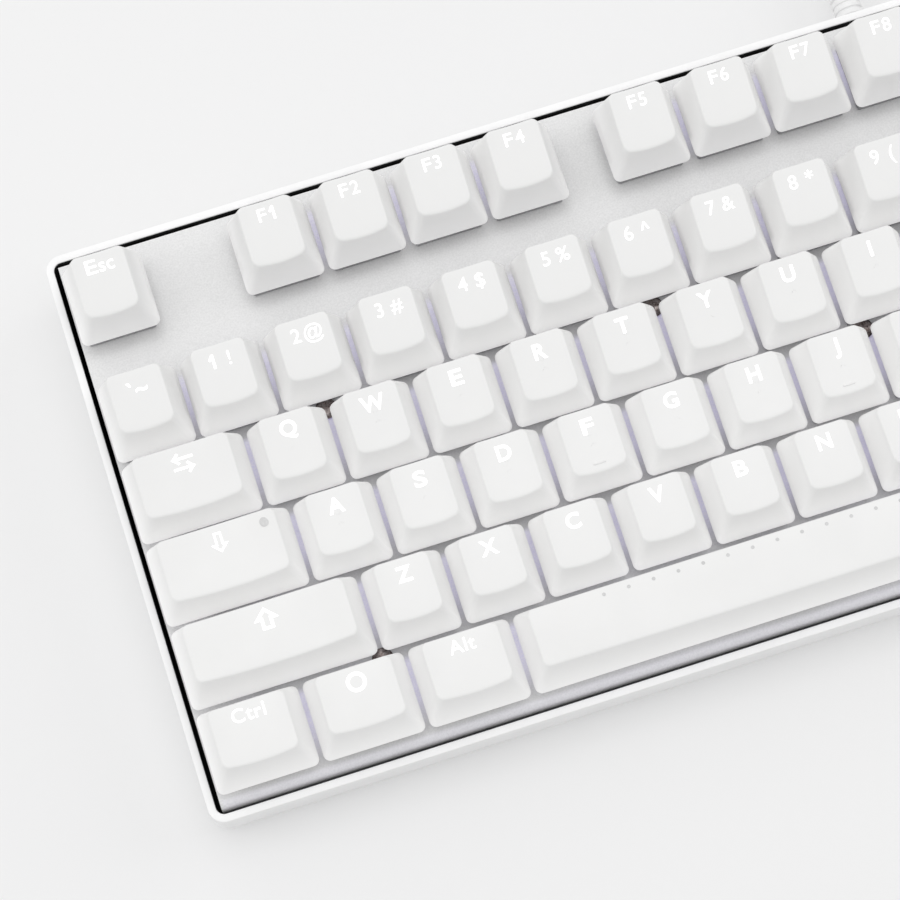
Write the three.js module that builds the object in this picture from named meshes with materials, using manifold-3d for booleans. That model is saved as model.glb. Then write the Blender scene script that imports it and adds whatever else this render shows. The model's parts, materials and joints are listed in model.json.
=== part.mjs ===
// A compact 87-key mechanical keyboard with a metal tray, open-sided key field and USB lead.
// Millimetres, +Z up, +Y towards the rear edge; the origin is on the desk under the middle.
import * as THREE from 'three';
import { mergeVertices } from 'three/addons/utils/BufferGeometryUtils.js';
import Module from 'manifold-3d';

const wasm = await Module();
wasm.setup();

// Driving dimensions of the key field, measured in the plate's own frame:
// x from the left edge of the keys, y from their front edge, z up from the plate's top face.
const UNIT = 19.05;
const KEY_GAP = 0.95;
const FIELD_WIDTH = 18.25 * UNIT;
const FUNCTION_ROW_Y = 5.46 * UNIT;
const FIELD_DEPTH = FUNCTION_ROW_Y + UNIT;
const TILT = THREE.MathUtils.degToRad(5);

// Key travel stack
const SKIRT_HEIGHT = 5.5;
const KEY_TRAVEL = 4;
const CAP_WALL = 1.2;
const CAP_ROOF = 1.6;
const SIDE_INSET = 3.05;
const STEM = { halfWidth: 3.1, halfDepth: 2.4, bottom: 0.6 };
const SWITCH = { half: 6.8, bottom: -5.1, top: 6.2, topHalfX: 4.6, topHalfY: 3.8, wellGap: 0.3, wellBottom: -3.9 };

// Stabilisers: feet on wide keys pressed level by a wire that turns in front of the switch
const STAB_FOOT = { halfWidth: 2, halfDepth: 1.7, y: 0.6, bottom: 0.7 };
const STAB_POST = { halfWidth: 2.5, front: 3.2, back: 6.5, top: 4.5 };
const STAB_CUTOUT = { inner: 3.4, outer: 4.2, front: -5.6, back: 6.8 };
const WIRE = { radius: 0.75, barY: -9, barZ: -4.35, tipY: 0.6, tipZ: -0.35, armOut: 3, tipIn: 1.8 };

// Plate, board and tray
const PLATE = { thickness: 1.5, side: 0.05, back: FIELD_DEPTH + 2.55, front: -2.2, lip: 4.2, clearance: 0.3 };
const BOARD = { top: -5.4, thickness: 1.6, margin: 1 };
const RIM = { width: 1.8, sideGap: 1.15, frontGap: 2.7, backGap: 3.6, innerRadius: 1.9 };
const FRONT_SLOPE = 0.015;
const FRONT_HEIGHT = 15;
const FOOT_GAP = 1.5;
const FLOOR = 2.2;

// Screws between the keys, in key units across and up the plate
const SCREWS = [[2.5, 4], [6.5, 4], [12.5, 4], [8.75, 3], [2.25, 1], [12.25, 1]];
const SCREW = { headRadius: 2.4, headBottom: 0.3, headTop: 1.1, shankRadius: 1, length: 8, socketRadius: 1.05 };
const STANDOFF = { radius: 2.4, top: -1.8, holeRadius: 1.3, boardHoleRadius: 3.1, plateHoleRadius: 1.4 };

// Flip-out feet, rubber feet
const FLIP = { x: 118, hingeY: 44, hingeZ: 4.3, halfWidth: 22, length: 15, halfThick: 2 };
const TRUNNION = { radius: 1.7, reach: 25, boreRadius: 2.05, clearance: 0.4 };
const RUBBER = { width: 24, depth: 9, radius: 3, height: 2, recess: 2.3, clearance: 0.3 };

// Lead
const LEAD = { radius: 2.5, exitX: 19.2, exitZ: 9, reliefLength: 27, reliefTip: 2.8, reliefNeck: 3.3 };
const COIL = { innerRadius: 14.8, outerRadius: 40.2, turnRadius: 37.5, behind: 68, bottom: 0.8, top: 10.8 };
const TIE = { width: 10, thickness: 0.5, clearance: 0.3, angle: -Math.PI / 4 };
const PLUG = { x: 55, y: 17.5, z: 4, width: 16, depth: 20, height: 8, shellWidth: 12, shellHeight: 4.5 };
const SHELL_LENGTH = 18;
const TOUCH = 0.3;

// Keycap rows: front edge, how far the top is set in from the skirt, and its two heights
const ROWS = {
  bottom: { y: 0, frontInset: 4.2, backInset: 1.1, frontHeight: 9.2, backHeight: 8 },
  shift: { y: UNIT, frontInset: 4.3, backInset: 0.9, frontHeight: 8.9, backHeight: 8.2 },
  home: { y: 2 * UNIT, frontInset: 3.75, backInset: 0.9, frontHeight: 7.9, backHeight: 8.4 },
  upper: { y: 3 * UNIT, frontInset: 3.65, backInset: 1.1, frontHeight: 8.4, backHeight: 9.6 },
  number: { y: 4 * UNIT, frontInset: 4.3, backInset: 1.35, frontHeight: 9.3, backHeight: 11.2 },
  function: { y: FUNCTION_ROW_Y, frontInset: 3.7, backInset: 1.85, frontHeight: 9, backHeight: 11.5 },
};

// Runs of keys: node name, row, left edge in key units, widths in key units
const KEY_RUNS = [
  ['key_escape', 'function', 0, [1]],
  ['keys_f1_to_f4', 'function', 2, [1, 1, 1, 1]],
  ['keys_f5_to_f8', 'function', 6.5, [1, 1, 1, 1]],
  ['keys_f9_to_f12', 'function', 11, [1, 1, 1, 1]],
  ['keys_system', 'function', 15.25, [1, 1, 1]],
  ['key_backquote', 'number', 0, [1]],
  ['keys_number_left', 'number', 1, [1, 1, 1, 1, 1, 1]],
  ['keys_number_right', 'number', 7, [1, 1, 1, 1, 1, 1]],
  ['key_backspace', 'number', 13, [2]],
  ['keys_navigation', 'number', 15.25, [1, 1, 1]],
  ['key_tab', 'upper', 0, [1.5]],
  ['keys_upper_left', 'upper', 1.5, [1, 1, 1, 1, 1]],
  ['keys_upper_right', 'upper', 6.5, [1, 1, 1, 1, 1, 1, 1]],
  ['key_backslash', 'upper', 13.5, [1.5]],
  ['keys_navigation', 'upper', 15.25, [1, 1, 1]],
  ['key_caps_lock', 'home', 0, [1.75]],
  ['keys_home', 'home', 1.75, [1, 1, 1, 1, 1, 1, 1, 1, 1, 1, 1]],
  ['key_enter', 'home', 12.75, [2.25]],
  ['key_left_shift', 'shift', 0, [2.25]],
  ['keys_lower', 'shift', 2.25, [1, 1, 1, 1, 1, 1, 1, 1, 1, 1]],
  ['key_right_shift', 'shift', 12.25, [2.75]],
  ['key_up', 'shift', 16.25, [1]],
  ['key_left_control', 'bottom', 0, [1.25]],
  ['key_left_super', 'bottom', 1.25, [1.25]],
  ['key_left_alt', 'bottom', 2.5, [1.25]],
  ['key_space', 'bottom', 3.75, [6.25]],
  ['key_right_alt', 'bottom', 10, [1.25]],
  ['key_right_super', 'bottom', 11.25, [1.25]],
  ['key_menu', 'bottom', 12.5, [1.25]],
  ['key_right_control', 'bottom', 13.75, [1.25]],
  ['key_left', 'bottom', 15.25, [1]],
  ['key_down', 'bottom', 16.25, [1]],
  ['key_right', 'bottom', 17.25, [1]],
];

// Solid helpers ---------------------------------------------------------------------------

function solid(geometry) {
  const bare = geometry.clone();
  bare.deleteAttribute('normal');
  bare.deleteAttribute('uv');
  const merged = mergeVertices(bare, 1e-4);
  const vertProperties = Float32Array.from(merged.attributes.position.array);
  const triVerts = Uint32Array.from(merged.index.array);
  return new wasm.Manifold(new wasm.Mesh({ numProp: 3, vertProperties, triVerts }));
}

function geometryOf(manifold) {
  const { vertProperties, triVerts } = manifold.getMesh();
  const geometry = new THREE.BufferGeometry();
  geometry.setAttribute('position', new THREE.BufferAttribute(vertProperties, 3));
  geometry.setIndex(new THREE.BufferAttribute(triVerts, 1));
  geometry.computeVertexNormals();
  return geometry;
}

const joined = (solids) => solids.reduce((whole, piece) => whole.add(piece));

function boxGeometry([x0, x1], [y0, y1], [z0, z1]) {
  const geometry = new THREE.BoxGeometry(x1 - x0, y1 - y0, z1 - z0);
  return geometry.translate((x0 + x1) / 2, (y0 + y1) / 2, (z0 + z1) / 2);
}

const box = (x, y, z) => solid(boxGeometry(x, y, z));

// A box whose base and top are two rectangles; the top may slope from front to back.
function taperedBox(base, top) {
  const geometry = new THREE.BoxGeometry(1, 1, 1);
  const corner = geometry.attributes.position;
  for (let i = 0; i < corner.count; i += 1) {
    const end = corner.getZ(i) > 0 ? top : base;
    const back = corner.getY(i) > 0 ? 1 : 0;
    corner.setXYZ(i, end.x[corner.getX(i) > 0 ? 1 : 0], end.y[back], end.z[back]);
  }
  return geometry;
}

function roundedOutline([x0, x1], [y0, y1], radius) {
  const outline = new THREE.Shape();
  outline.absarc(x1 - radius, y0 + radius, radius, -Math.PI / 2, 0);
  outline.absarc(x1 - radius, y1 - radius, radius, 0, Math.PI / 2);
  outline.absarc(x0 + radius, y1 - radius, radius, Math.PI / 2, Math.PI);
  outline.absarc(x0 + radius, y0 + radius, radius, Math.PI, 1.5 * Math.PI);
  return outline;
}

function prism(outline, [z0, z1], curveSegments = 2) {
  const geometry = new THREE.ExtrudeGeometry(outline, { depth: z1 - z0, bevelEnabled: false, curveSegments });
  return geometry.translate(0, 0, z0);
}

function uprightCylinder(radius, [z0, z1], x, y, sides = 8) {
  const geometry = new THREE.CylinderGeometry(radius, radius, z1 - z0, sides).rotateX(Math.PI / 2);
  return geometry.translate(x, y, (z0 + z1) / 2);
}

function crossCylinder(radius, halfLength, x, y, z, sides = 10) {
  const geometry = new THREE.CylinderGeometry(radius, radius, 2 * halfLength, sides);
  return geometry.rotateZ(Math.PI / 2).translate(x, y, z);
}

function tube(points, radius, sides, steps) {
  const section = new THREE.Shape();
  for (let i = 0; i < sides; i += 1) {
    const angle = (i * 2 * Math.PI) / sides;
    section[i ? 'lineTo' : 'moveTo'](radius * Math.cos(angle), radius * Math.sin(angle));
  }
  const path = new THREE.CatmullRomCurve3(points.map((p) => new THREE.Vector3(...p)));
  return new THREE.ExtrudeGeometry(section, { steps, extrudePath: path, bevelEnabled: false });
}

// Placement of the tilted plate frame in the object's frame -------------------------------

const CASE_X = [-RIM.sideGap - RIM.width, FIELD_WIDTH + RIM.sideGap + RIM.width];
const CASE_Y = [-RIM.frontGap - RIM.width, FIELD_DEPTH + RIM.backGap + RIM.width];
const boardZ = FRONT_HEIGHT - CASE_Y[0] * Math.sin(TILT);
const frontDrop = (FRONT_HEIGHT - FOOT_GAP) / (Math.cos(TILT) + FRONT_SLOPE * Math.sin(TILT));
const frontFoot = (CASE_Y[0] - FRONT_SLOPE * frontDrop) * Math.cos(TILT) + frontDrop * Math.sin(TILT);
const rearWall = CASE_Y[1] * Math.cos(TILT);
const boardY = -(frontFoot + rearWall) / 2;
const rearY = boardY + rearWall;

const board = new THREE.Group();
board.rotation.x = TILT;
board.position.set(-FIELD_WIDTH / 2, boardY, boardZ);
board.updateMatrixWorld();

const untilted = (geometry) => geometry.applyMatrix4(board.matrixWorld);

// Keys ------------------------------------------------------------------------------------

function keyCentres([, row, from, widths]) {
  let left = from;
  return widths.map((units) => {
    left += units;
    return { units, row, x: (left - units / 2) * UNIT, y: ROWS[row].y + UNIT / 2 };
  });
}

const ALL_KEYS = KEY_RUNS.flatMap(keyCentres);

function stabOffset(units) {
  if (units > 4) return 50;
  return units >= 2 ? 11.94 : 0;
}

function capSolid({ units, row, x, y }, shrink) {
  const halfX = (units * UNIT - KEY_GAP) / 2 - shrink;
  const halfY = (UNIT - KEY_GAP) / 2 - shrink;
  const { frontInset, backInset, frontHeight, backHeight } = ROWS[row];
  const drop = shrink ? CAP_ROOF : 0;
  const skirt = shrink ? SKIRT_HEIGHT - 1 : SKIRT_HEIGHT;
  const base = { x: [x - halfX, x + halfX], y: [y - halfY, y + halfY], z: [skirt, skirt] };
  const top = {
    x: [x - halfX + SIDE_INSET, x + halfX - SIDE_INSET],
    y: [y - halfY + frontInset, y + halfY - backInset],
    z: [SKIRT_HEIGHT + frontHeight - drop, SKIRT_HEIGHT + backHeight - drop],
  };
  return solid(taperedBox(base, top));
}

function keyStems({ units, row, x, y }) {
  const { frontHeight, backHeight } = ROWS[row];
  const roof = SKIRT_HEIGHT + (frontHeight + backHeight) / 2 - CAP_ROOF / 2;
  const stem = box(
    [x - STEM.halfWidth, x + STEM.halfWidth],
    [y - STEM.halfDepth, y + STEM.halfDepth],
    [STEM.bottom, roof],
  );
  const offset = stabOffset(units);
  const feet = (offset ? [-offset, offset] : []).map((side) => box(
    [x + side - STAB_FOOT.halfWidth, x + side + STAB_FOOT.halfWidth],
    [y + STAB_FOOT.y - STAB_FOOT.halfDepth, y + STAB_FOOT.y + STAB_FOOT.halfDepth],
    [STAB_FOOT.bottom, roof],
  ));
  return [stem, ...feet];
}

function keycap(key) {
  return joined([capSolid(key, 0).subtract(capSolid(key, CAP_WALL)), ...keyStems(key)]);
}

// Thin tabs at skirt level join the keys that share one node.
const TAB = { reach: 1, half: 1.5, height: 1.2 };
const tabZ = [SKIRT_HEIGHT, SKIRT_HEIGHT + TAB.height];

function sideTab(left, right) {
  const edge = left.x + (left.units * UNIT) / 2;
  return box([edge - TAB.reach, edge + TAB.reach], [right.y - TAB.half, right.y + TAB.half], tabZ);
}

function rearTab(key) {
  const edge = key.y + UNIT / 2;
  return box([key.x - TAB.half, key.x + TAB.half], [edge - TAB.reach, edge + TAB.reach], tabZ);
}

function keyNode(name) {
  const rows = KEY_RUNS.filter(([node]) => node === name).map(keyCentres);
  const caps = rows.flat().map(keycap);
  const tabs = rows.flatMap((run) => run.slice(1).map((key, i) => sideTab(run[i], key)));
  if (rows.length > 1) tabs.push(rearTab(rows.at(-1)[1]));
  return joined([...caps, ...tabs]);
}

// Switches and stabiliser wires -----------------------------------------------------------

function housing({ x, y }) {
  const { half, bottom, top, topHalfX, topHalfY, wellGap } = SWITCH;
  const level = (spanX, spanY, z) => ({ x: [x - spanX, x + spanX], y: [y - spanY, y + spanY], z: [z, z] });
  const body = taperedBox(level(half, half, bottom), level(half, half, 0));
  const upper = taperedBox(level(half, half, 0), level(topHalfX, topHalfY, top));
  const halfX = STEM.halfWidth + wellGap;
  const halfY = STEM.halfDepth + wellGap;
  const well = box([x - halfX, x + halfX], [y - halfY, y + halfY], [SWITCH.wellBottom, top + 1]);
  return solid(body).add(solid(upper)).subtract(well);
}

function stabPosts({ units, x, y }) {
  const offset = stabOffset(units);
  return (offset ? [-offset, offset] : []).map((side) => box(
    [x + side - STAB_POST.halfWidth, x + side + STAB_POST.halfWidth],
    [y + STAB_POST.front, y + STAB_POST.back],
    [SWITCH.bottom, STAB_POST.top],
  ));
}

// A carrier strip runs behind the switches of each row, and one strip ties the rows together.
const STRIP = { front: 5, back: 6.6, z: [-4.6, -3.8], crossX: 3 * UNIT, crossHalf: 0.8 };

function carrierStrips() {
  const rows = Object.entries(ROWS).map(([row, { y }]) => {
    const inRow = ALL_KEYS.filter((key) => key.row === row);
    const left = Math.min(...inRow.map((key) => key.x - stabOffset(key.units)));
    const right = Math.max(...inRow.map((key) => key.x + stabOffset(key.units)));
    const centre = y + UNIT / 2;
    return box([left, right], [centre + STRIP.front, centre + STRIP.back], STRIP.z);
  });
  const half = UNIT / 2;
  const crossing = box(
    [STRIP.crossX - STRIP.crossHalf, STRIP.crossX + STRIP.crossHalf],
    [half + STRIP.front, FUNCTION_ROW_Y + half + STRIP.back],
    STRIP.z,
  );
  return [...rows, crossing];
}

function switchHousings() {
  return joined([...ALL_KEYS.map(housing), ...ALL_KEYS.flatMap(stabPosts), ...carrierStrips()]);
}

function stabiliserWire(run) {
  const [key] = keyCentres(run);
  const offset = stabOffset(key.units);
  const arm = offset + WIRE.armOut;
  const half = [
    [offset - WIRE.tipIn, WIRE.tipY, WIRE.tipZ],
    [arm - 1, WIRE.tipY, WIRE.tipZ],
    [arm, WIRE.tipY - 1, WIRE.tipZ - 0.42],
    [arm, WIRE.barY + 1.2, WIRE.barZ + 0.5],
    [arm - 1.2, WIRE.barY, WIRE.barZ],
    [offset - 3, WIRE.barY, WIRE.barZ],
  ];
  const mirrored = half.map(([x, y, z]) => [-x, y, z]).reverse();
  const points = [...half, ...mirrored].map(([x, y, z]) => [key.x + x, key.y + y, z]);
  return tube(points, WIRE.radius, 6, offset > 20 ? 44 : 28);
}

// Plate and circuit board -----------------------------------------------------------------

function plateBlank() {
  const { thickness, back, front, lip } = PLATE;
  const profile = new THREE.Shape();
  profile.moveTo(back, 0);
  profile.lineTo(front + thickness, 0);
  profile.absarc(front + thickness, -thickness, thickness, Math.PI / 2, Math.PI);
  profile.lineTo(front, -lip);
  profile.lineTo(front + thickness, -lip);
  profile.lineTo(front + thickness, -thickness);
  profile.lineTo(back, -thickness);
  const length = FIELD_WIDTH + 2 * PLATE.side;
  const sheet = new THREE.ExtrudeGeometry(profile, { depth: length, bevelEnabled: false, curveSegments: 3 });
  return solid(sheet.rotateX(Math.PI / 2).rotateZ(Math.PI / 2).translate(-PLATE.side, 0, 0));
}

function plateCutouts() {
  const half = SWITCH.half + PLATE.clearance;
  const z = [-PLATE.thickness - 1, 1];
  const switches = ALL_KEYS.map(({ x, y }) => box([x - half, x + half], [y - half, y + half], z));
  const stabs = ALL_KEYS.filter(({ units }) => stabOffset(units)).flatMap(({ units, x, y }) => {
    const near = stabOffset(units) - STAB_CUTOUT.inner;
    const far = stabOffset(units) + STAB_CUTOUT.outer;
    const depth = [y + STAB_CUTOUT.front, y + STAB_CUTOUT.back];
    return [box([x - far, x - near], depth, z), box([x + near, x + far], depth, z)];
  });
  const screws = SCREWS.map(([x, y]) => (
    solid(uprightCylinder(STANDOFF.plateHoleRadius, z, x * UNIT, y * UNIT))
  ));
  return joined([...switches, ...stabs, ...screws]);
}

function circuitBoard() {
  const { top, thickness, margin } = BOARD;
  const bottom = top - thickness;
  const sheet = box([margin, FIELD_WIDTH - margin], [margin, FIELD_DEPTH - margin], [bottom, top]);
  const chip = box([150, 162], [88, 100], [bottom - 1.4, bottom + 0.1]);
  const leadSocket = box([186, 202], [112, 118], [bottom - 2.4, bottom + 0.1]);
  const holes = SCREWS.map(([x, y]) => (
    solid(uprightCylinder(STANDOFF.boardHoleRadius, [bottom - 1, top + 1], x * UNIT, y * UNIT))
  ));
  return joined([sheet, chip, leadSocket]).subtract(joined(holes));
}

function plateScrew([x, y]) {
  const head = solid(uprightCylinder(SCREW.headRadius, [SCREW.headBottom, SCREW.headTop], x * UNIT, y * UNIT, 12));
  const shank = uprightCylinder(SCREW.shankRadius, [-SCREW.length, SCREW.headTop - 0.2], x * UNIT, y * UNIT);
  const sixSided = uprightCylinder(SCREW.socketRadius, [SCREW.headTop - 0.5, 2], x * UNIT, y * UNIT, 6);
  return head.add(solid(shank)).subtract(solid(sixSided));
}

// Tray ------------------------------------------------------------------------------------

const deep = -40;
const HUGE = 300;

// Shears the lower end of an upright prism so that its front and rear walls slope.
function sloped(geometry, frontSlope, rearSlope) {
  const corner = geometry.attributes.position;
  for (let i = 0; i < corner.count; i += 1) {
    const slope = corner.getY(i) < FIELD_DEPTH / 2 ? frontSlope : rearSlope;
    corner.setY(i, corner.getY(i) + slope * Math.min(corner.getZ(i), 0));
  }
  return geometry;
}

function trayShell() {
  const upright = Math.tan(TILT);
  const outer = sloped(
    prism(roundedOutline(CASE_X, CASE_Y, RIM.innerRadius + RIM.width), [deep, 0]),
    FRONT_SLOPE,
    upright,
  );
  const inside = ([low, high]) => [low + RIM.width, high - RIM.width];
  const inner = sloped(
    prism(roundedOutline(inside(CASE_X), inside(CASE_Y), RIM.innerRadius), [deep, 0.5]),
    0,
    upright,
  );
  const above = (z) => box([-HUGE, HUGE], [-HUGE, HUGE], [z, HUGE]);
  const pocket = solid(untilted(inner)).intersect(above(FOOT_GAP + FLOOR));
  return solid(untilted(outer)).intersect(above(FOOT_GAP)).subtract(pocket);
}

function standoffs() {
  const columns = SCREWS.map(([x, y]) => (
    solid(untilted(uprightCylinder(STANDOFF.radius, [deep, STANDOFF.top], x * UNIT, y * UNIT, 12)))
  ));
  const aboveFloor = box([-HUGE, HUGE], [-HUGE, HUGE], [FOOT_GAP + FLOOR - 1, HUGE]);
  return joined(columns).intersect(aboveFloor);
}

function standoffHoles() {
  return joined(SCREWS.map(([x, y]) => (
    solid(untilted(uprightCylinder(STANDOFF.holeRadius, [-SCREW.length - 1, 0], x * UNIT, y * UNIT)))
  )));
}

const FLIP_SIDES = [-FLIP.x, FLIP.x];

function flipBlocks() {
  return FLIP_SIDES.map((x) => box([x - 28, x + 28], [FLIP.hingeY - 5, FLIP.hingeY + 18.5], [FOOT_GAP, 9.5]));
}

function flipRecesses() {
  return FLIP_SIDES.flatMap((x) => {
    const half = FLIP.halfWidth + TRUNNION.clearance;
    const y = [FLIP.hingeY - 2.7, FLIP.hingeY + FLIP.length + 0.8];
    const bore = crossCylinder(
      TRUNNION.boreRadius,
      TRUNNION.reach + TRUNNION.clearance,
      x,
      FLIP.hingeY,
      FLIP.hingeZ,
    );
    return [box([x - half, x + half], y, [0, FLIP.hingeZ + FLIP.halfThick + 0.6]), solid(bore)];
  });
}

const RUBBER_FEET = {
  rubber_foot_front_left: [-152, -55],
  rubber_foot_front_right: [152, -55],
  rubber_foot_rear_left: [-160, 50],
  rubber_foot_rear_right: [160, 50],
};

function rubberFoot([x, y], grow = 0, height = RUBBER.height) {
  const halfX = RUBBER.width / 2 + grow;
  const halfY = RUBBER.depth / 2 + grow;
  return prism(roundedOutline([x - halfX, x + halfX], [y - halfY, y + halfY], RUBBER.radius + grow), [0, height]);
}

function bottomCase() {
  const exit = new THREE.CylinderGeometry(LEAD.reliefNeck + TOUCH, LEAD.reliefNeck + TOUCH, 12, 16);
  exit.translate(LEAD.exitX, rearY, LEAD.exitZ);
  const rubberRecesses = Object.values(RUBBER_FEET).map((place) => (
    solid(rubberFoot(place, RUBBER.clearance, RUBBER.recess))
  ));
  const cuts = [standoffHoles(), solid(exit), ...flipRecesses(), ...rubberRecesses];
  return joined([trayShell(), standoffs(), ...flipBlocks()]).subtract(joined(cuts));
}

function flipFoot(x) {
  const outline = new THREE.Shape();
  outline.absarc(0, 0, FLIP.halfThick, Math.PI / 2, 1.5 * Math.PI);
  outline.lineTo(FLIP.length, -FLIP.halfThick);
  outline.lineTo(FLIP.length, FLIP.halfThick);
  const flap = new THREE.ExtrudeGeometry(outline, {
    depth: 2 * FLIP.halfWidth,
    bevelEnabled: false,
    curveSegments: 4,
  });
  flap.rotateX(Math.PI / 2).rotateZ(Math.PI / 2).translate(x - FLIP.halfWidth, FLIP.hingeY, FLIP.hingeZ);
  const pin = crossCylinder(TRUNNION.radius, TRUNNION.reach, x, FLIP.hingeY, FLIP.hingeZ);
  return solid(flap).add(solid(pin));
}

// Lead ------------------------------------------------------------------------------------

const reliefEnd = rearY + LEAD.reliefLength;
const coilX = LEAD.exitX + COIL.turnRadius;
const coilY = rearY + COIL.behind;
const coilEdge = Math.sqrt(COIL.outerRadius ** 2 - (COIL.turnRadius - LEAD.radius) ** 2) + TOUCH;

function strainRelief() {
  const inner = rearY - RIM.width;
  const profile = [
    [0, inner - 2.4], [5.2, inner - 2.4], [5.2, inner - 0.8], [LEAD.reliefNeck, inner - 0.8],
    [LEAD.reliefNeck, rearY + 0.8], [4.9, rearY + 0.8], [4.9, rearY + 2.8],
    [LEAD.reliefNeck, rearY + 2.8], [LEAD.reliefTip, reliefEnd], [0, reliefEnd],
  ];
  const turned = new THREE.LatheGeometry(profile.map(([r, y]) => new THREE.Vector2(r, y)), 16);
  return turned.translate(LEAD.exitX, 0, LEAD.exitZ);
}

function leadTube() {
  const points = [
    [LEAD.exitX, reliefEnd + TOUCH, 9], [LEAD.exitX, reliefEnd + 6, 8.3], [LEAD.exitX, reliefEnd + 12, 6.9],
    [LEAD.exitX, reliefEnd + 18, 5.2], [LEAD.exitX, coilY - coilEdge, 4],
  ];
  return tube(points, LEAD.radius, 8, 10);
}

function leadTail() {
  const points = [
    [coilEdge, 37.5, 8.1], [coilEdge + 6, 37.5, 6.6], [35, 37.3, 4], [44, 35, 2.7], [51, 30, 2.8],
    [54.5, 24, 3.6], [PLUG.x, PLUG.y + 3.5, PLUG.z], [PLUG.x, PLUG.y + TOUCH, PLUG.z],
  ];
  return tube(points.map(([x, y, z]) => [coilX + x, coilY + y, z]), LEAD.radius, 8, 18);
}

function leadCoil() {
  const { innerRadius, outerRadius, bottom, top } = COIL;
  const bevel = 1.2;
  const profile = [
    [innerRadius + bevel, bottom], [outerRadius - bevel, bottom], [outerRadius, bottom + bevel],
    [outerRadius, top - bevel], [outerRadius - bevel, top], [innerRadius + bevel, top],
    [innerRadius, top - bevel], [innerRadius, bottom + bevel], [innerRadius + bevel, bottom],
  ];
  const ring = new THREE.LatheGeometry(profile.map(([r, z]) => new THREE.Vector2(r, z)), 32);
  return ring.rotateX(Math.PI / 2).translate(coilX, coilY, 0);
}

function coilTie() {
  const grow = TIE.clearance;
  const full = TIE.clearance + TIE.thickness;
  const half = TIE.width / 2;
  const bore = Math.sqrt(COIL.innerRadius ** 2 - half ** 2);
  const inner = [bore - grow, COIL.outerRadius + grow];
  const outer = [bore - full, COIL.outerRadius + full];
  const loop = box(outer, [-half, half], [COIL.bottom - full, COIL.top + full])
    .subtract(box(inner, [-half - 1, half + 1], [COIL.bottom - grow, COIL.top + grow]));
  return geometryOf(loop).rotateZ(TIE.angle).translate(coilX, coilY, 0);
}

function plugGrip() {
  const { width, depth, height } = PLUG;
  const x = coilX + PLUG.x;
  const y = coilY + PLUG.y;
  const outline = roundedOutline([-width / 2, width / 2], [-height / 2, height / 2], 2);
  const body = new THREE.ExtrudeGeometry(outline, { depth, bevelEnabled: false, curveSegments: 3 });
  return body.rotateX(Math.PI / 2).translate(x, y, PLUG.z);
}

function plugShell() {
  const x = coilX + PLUG.x;
  const y = coilY + PLUG.y - PLUG.depth - TOUCH;
  const halfX = PLUG.shellWidth / 2;
  const halfZ = PLUG.shellHeight / 2;
  const tubeBody = box([x - halfX, x + halfX], [y - SHELL_LENGTH, y], [PLUG.z - halfZ, PLUG.z + halfZ]);
  const mouth = box(
    [x - halfX + 0.4, x + halfX - 0.4],
    [y - SHELL_LENGTH - 1, y - 6],
    [PLUG.z - halfZ + 0.4, PLUG.z + halfZ - 0.4],
  );
  return tubeBody.subtract(mouth);
}

// Materials and assembly ------------------------------------------------------------------

const finish = (color, roughness, metalness) => new THREE.MeshStandardMaterial({ color, roughness, metalness });
const whitePaint = () => finish(0xf2f2f2, 0.45, 0.1);
const satinMetal = () => finish(0xdadadc, 0.4, 0.6);
const whiteCap = () => finish(0xf4f4f3, 0.5, 0);
const switchPlastic = () => finish(0x2a2724, 0.5, 0);
const boardGreen = () => finish(0x1d3a2c, 0.6, 0);
const steel = () => finish(0xb9bcc0, 0.3, 0.9);
const rubber = () => finish(0x2b2b2d, 0.9, 0);
const braid = () => finish(0xe6e6e6, 0.8, 0);

const object = new THREE.Group();
object.add(board);

function place(parent, name, shape, material) {
  const geometry = shape.isBufferGeometry ? shape : geometryOf(shape);
  const mesh = new THREE.Mesh(geometry, material);
  mesh.name = name;
  parent.add(mesh);
}

place(object, 'bottom_case', bottomCase(), whitePaint());
place(board, 'switch_plate', plateBlank().subtract(plateCutouts()), satinMetal());
place(board, 'circuit_board', circuitBoard(), boardGreen());
place(board, 'switch_housings', switchHousings(), switchPlastic());
SCREWS.forEach((spot, i) => place(board, `plate_screw_${i + 1}`, plateScrew(spot), steel()));

for (const name of new Set(KEY_RUNS.map(([node]) => node))) {
  place(board, name, keyNode(name), whiteCap());
}
for (const run of KEY_RUNS.filter(([, , , widths]) => stabOffset(widths[0]))) {
  place(board, run[0].replace('key_', 'wire_'), stabiliserWire(run), steel());
}
for (const [name, spot] of Object.entries(RUBBER_FEET)) {
  place(object, name, rubberFoot(spot), rubber());
}
place(object, 'flip_foot_left', flipFoot(-FLIP.x), whitePaint());
place(object, 'flip_foot_right', flipFoot(FLIP.x), whitePaint());

place(object, 'lead_strain_relief', strainRelief(), whiteCap());
place(object, 'lead_tube', leadTube(), braid());
place(object, 'lead_coil', leadCoil(), braid());
place(object, 'lead_tail', leadTail(), braid());
place(object, 'lead_tie', coilTie(), rubber());
place(object, 'plug_grip', plugGrip(), whiteCap());
place(object, 'plug_shell', plugShell(), steel());

export default object;
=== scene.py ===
import json
import math

import bmesh
import bpy
from mathutils import Matrix, Vector


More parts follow.
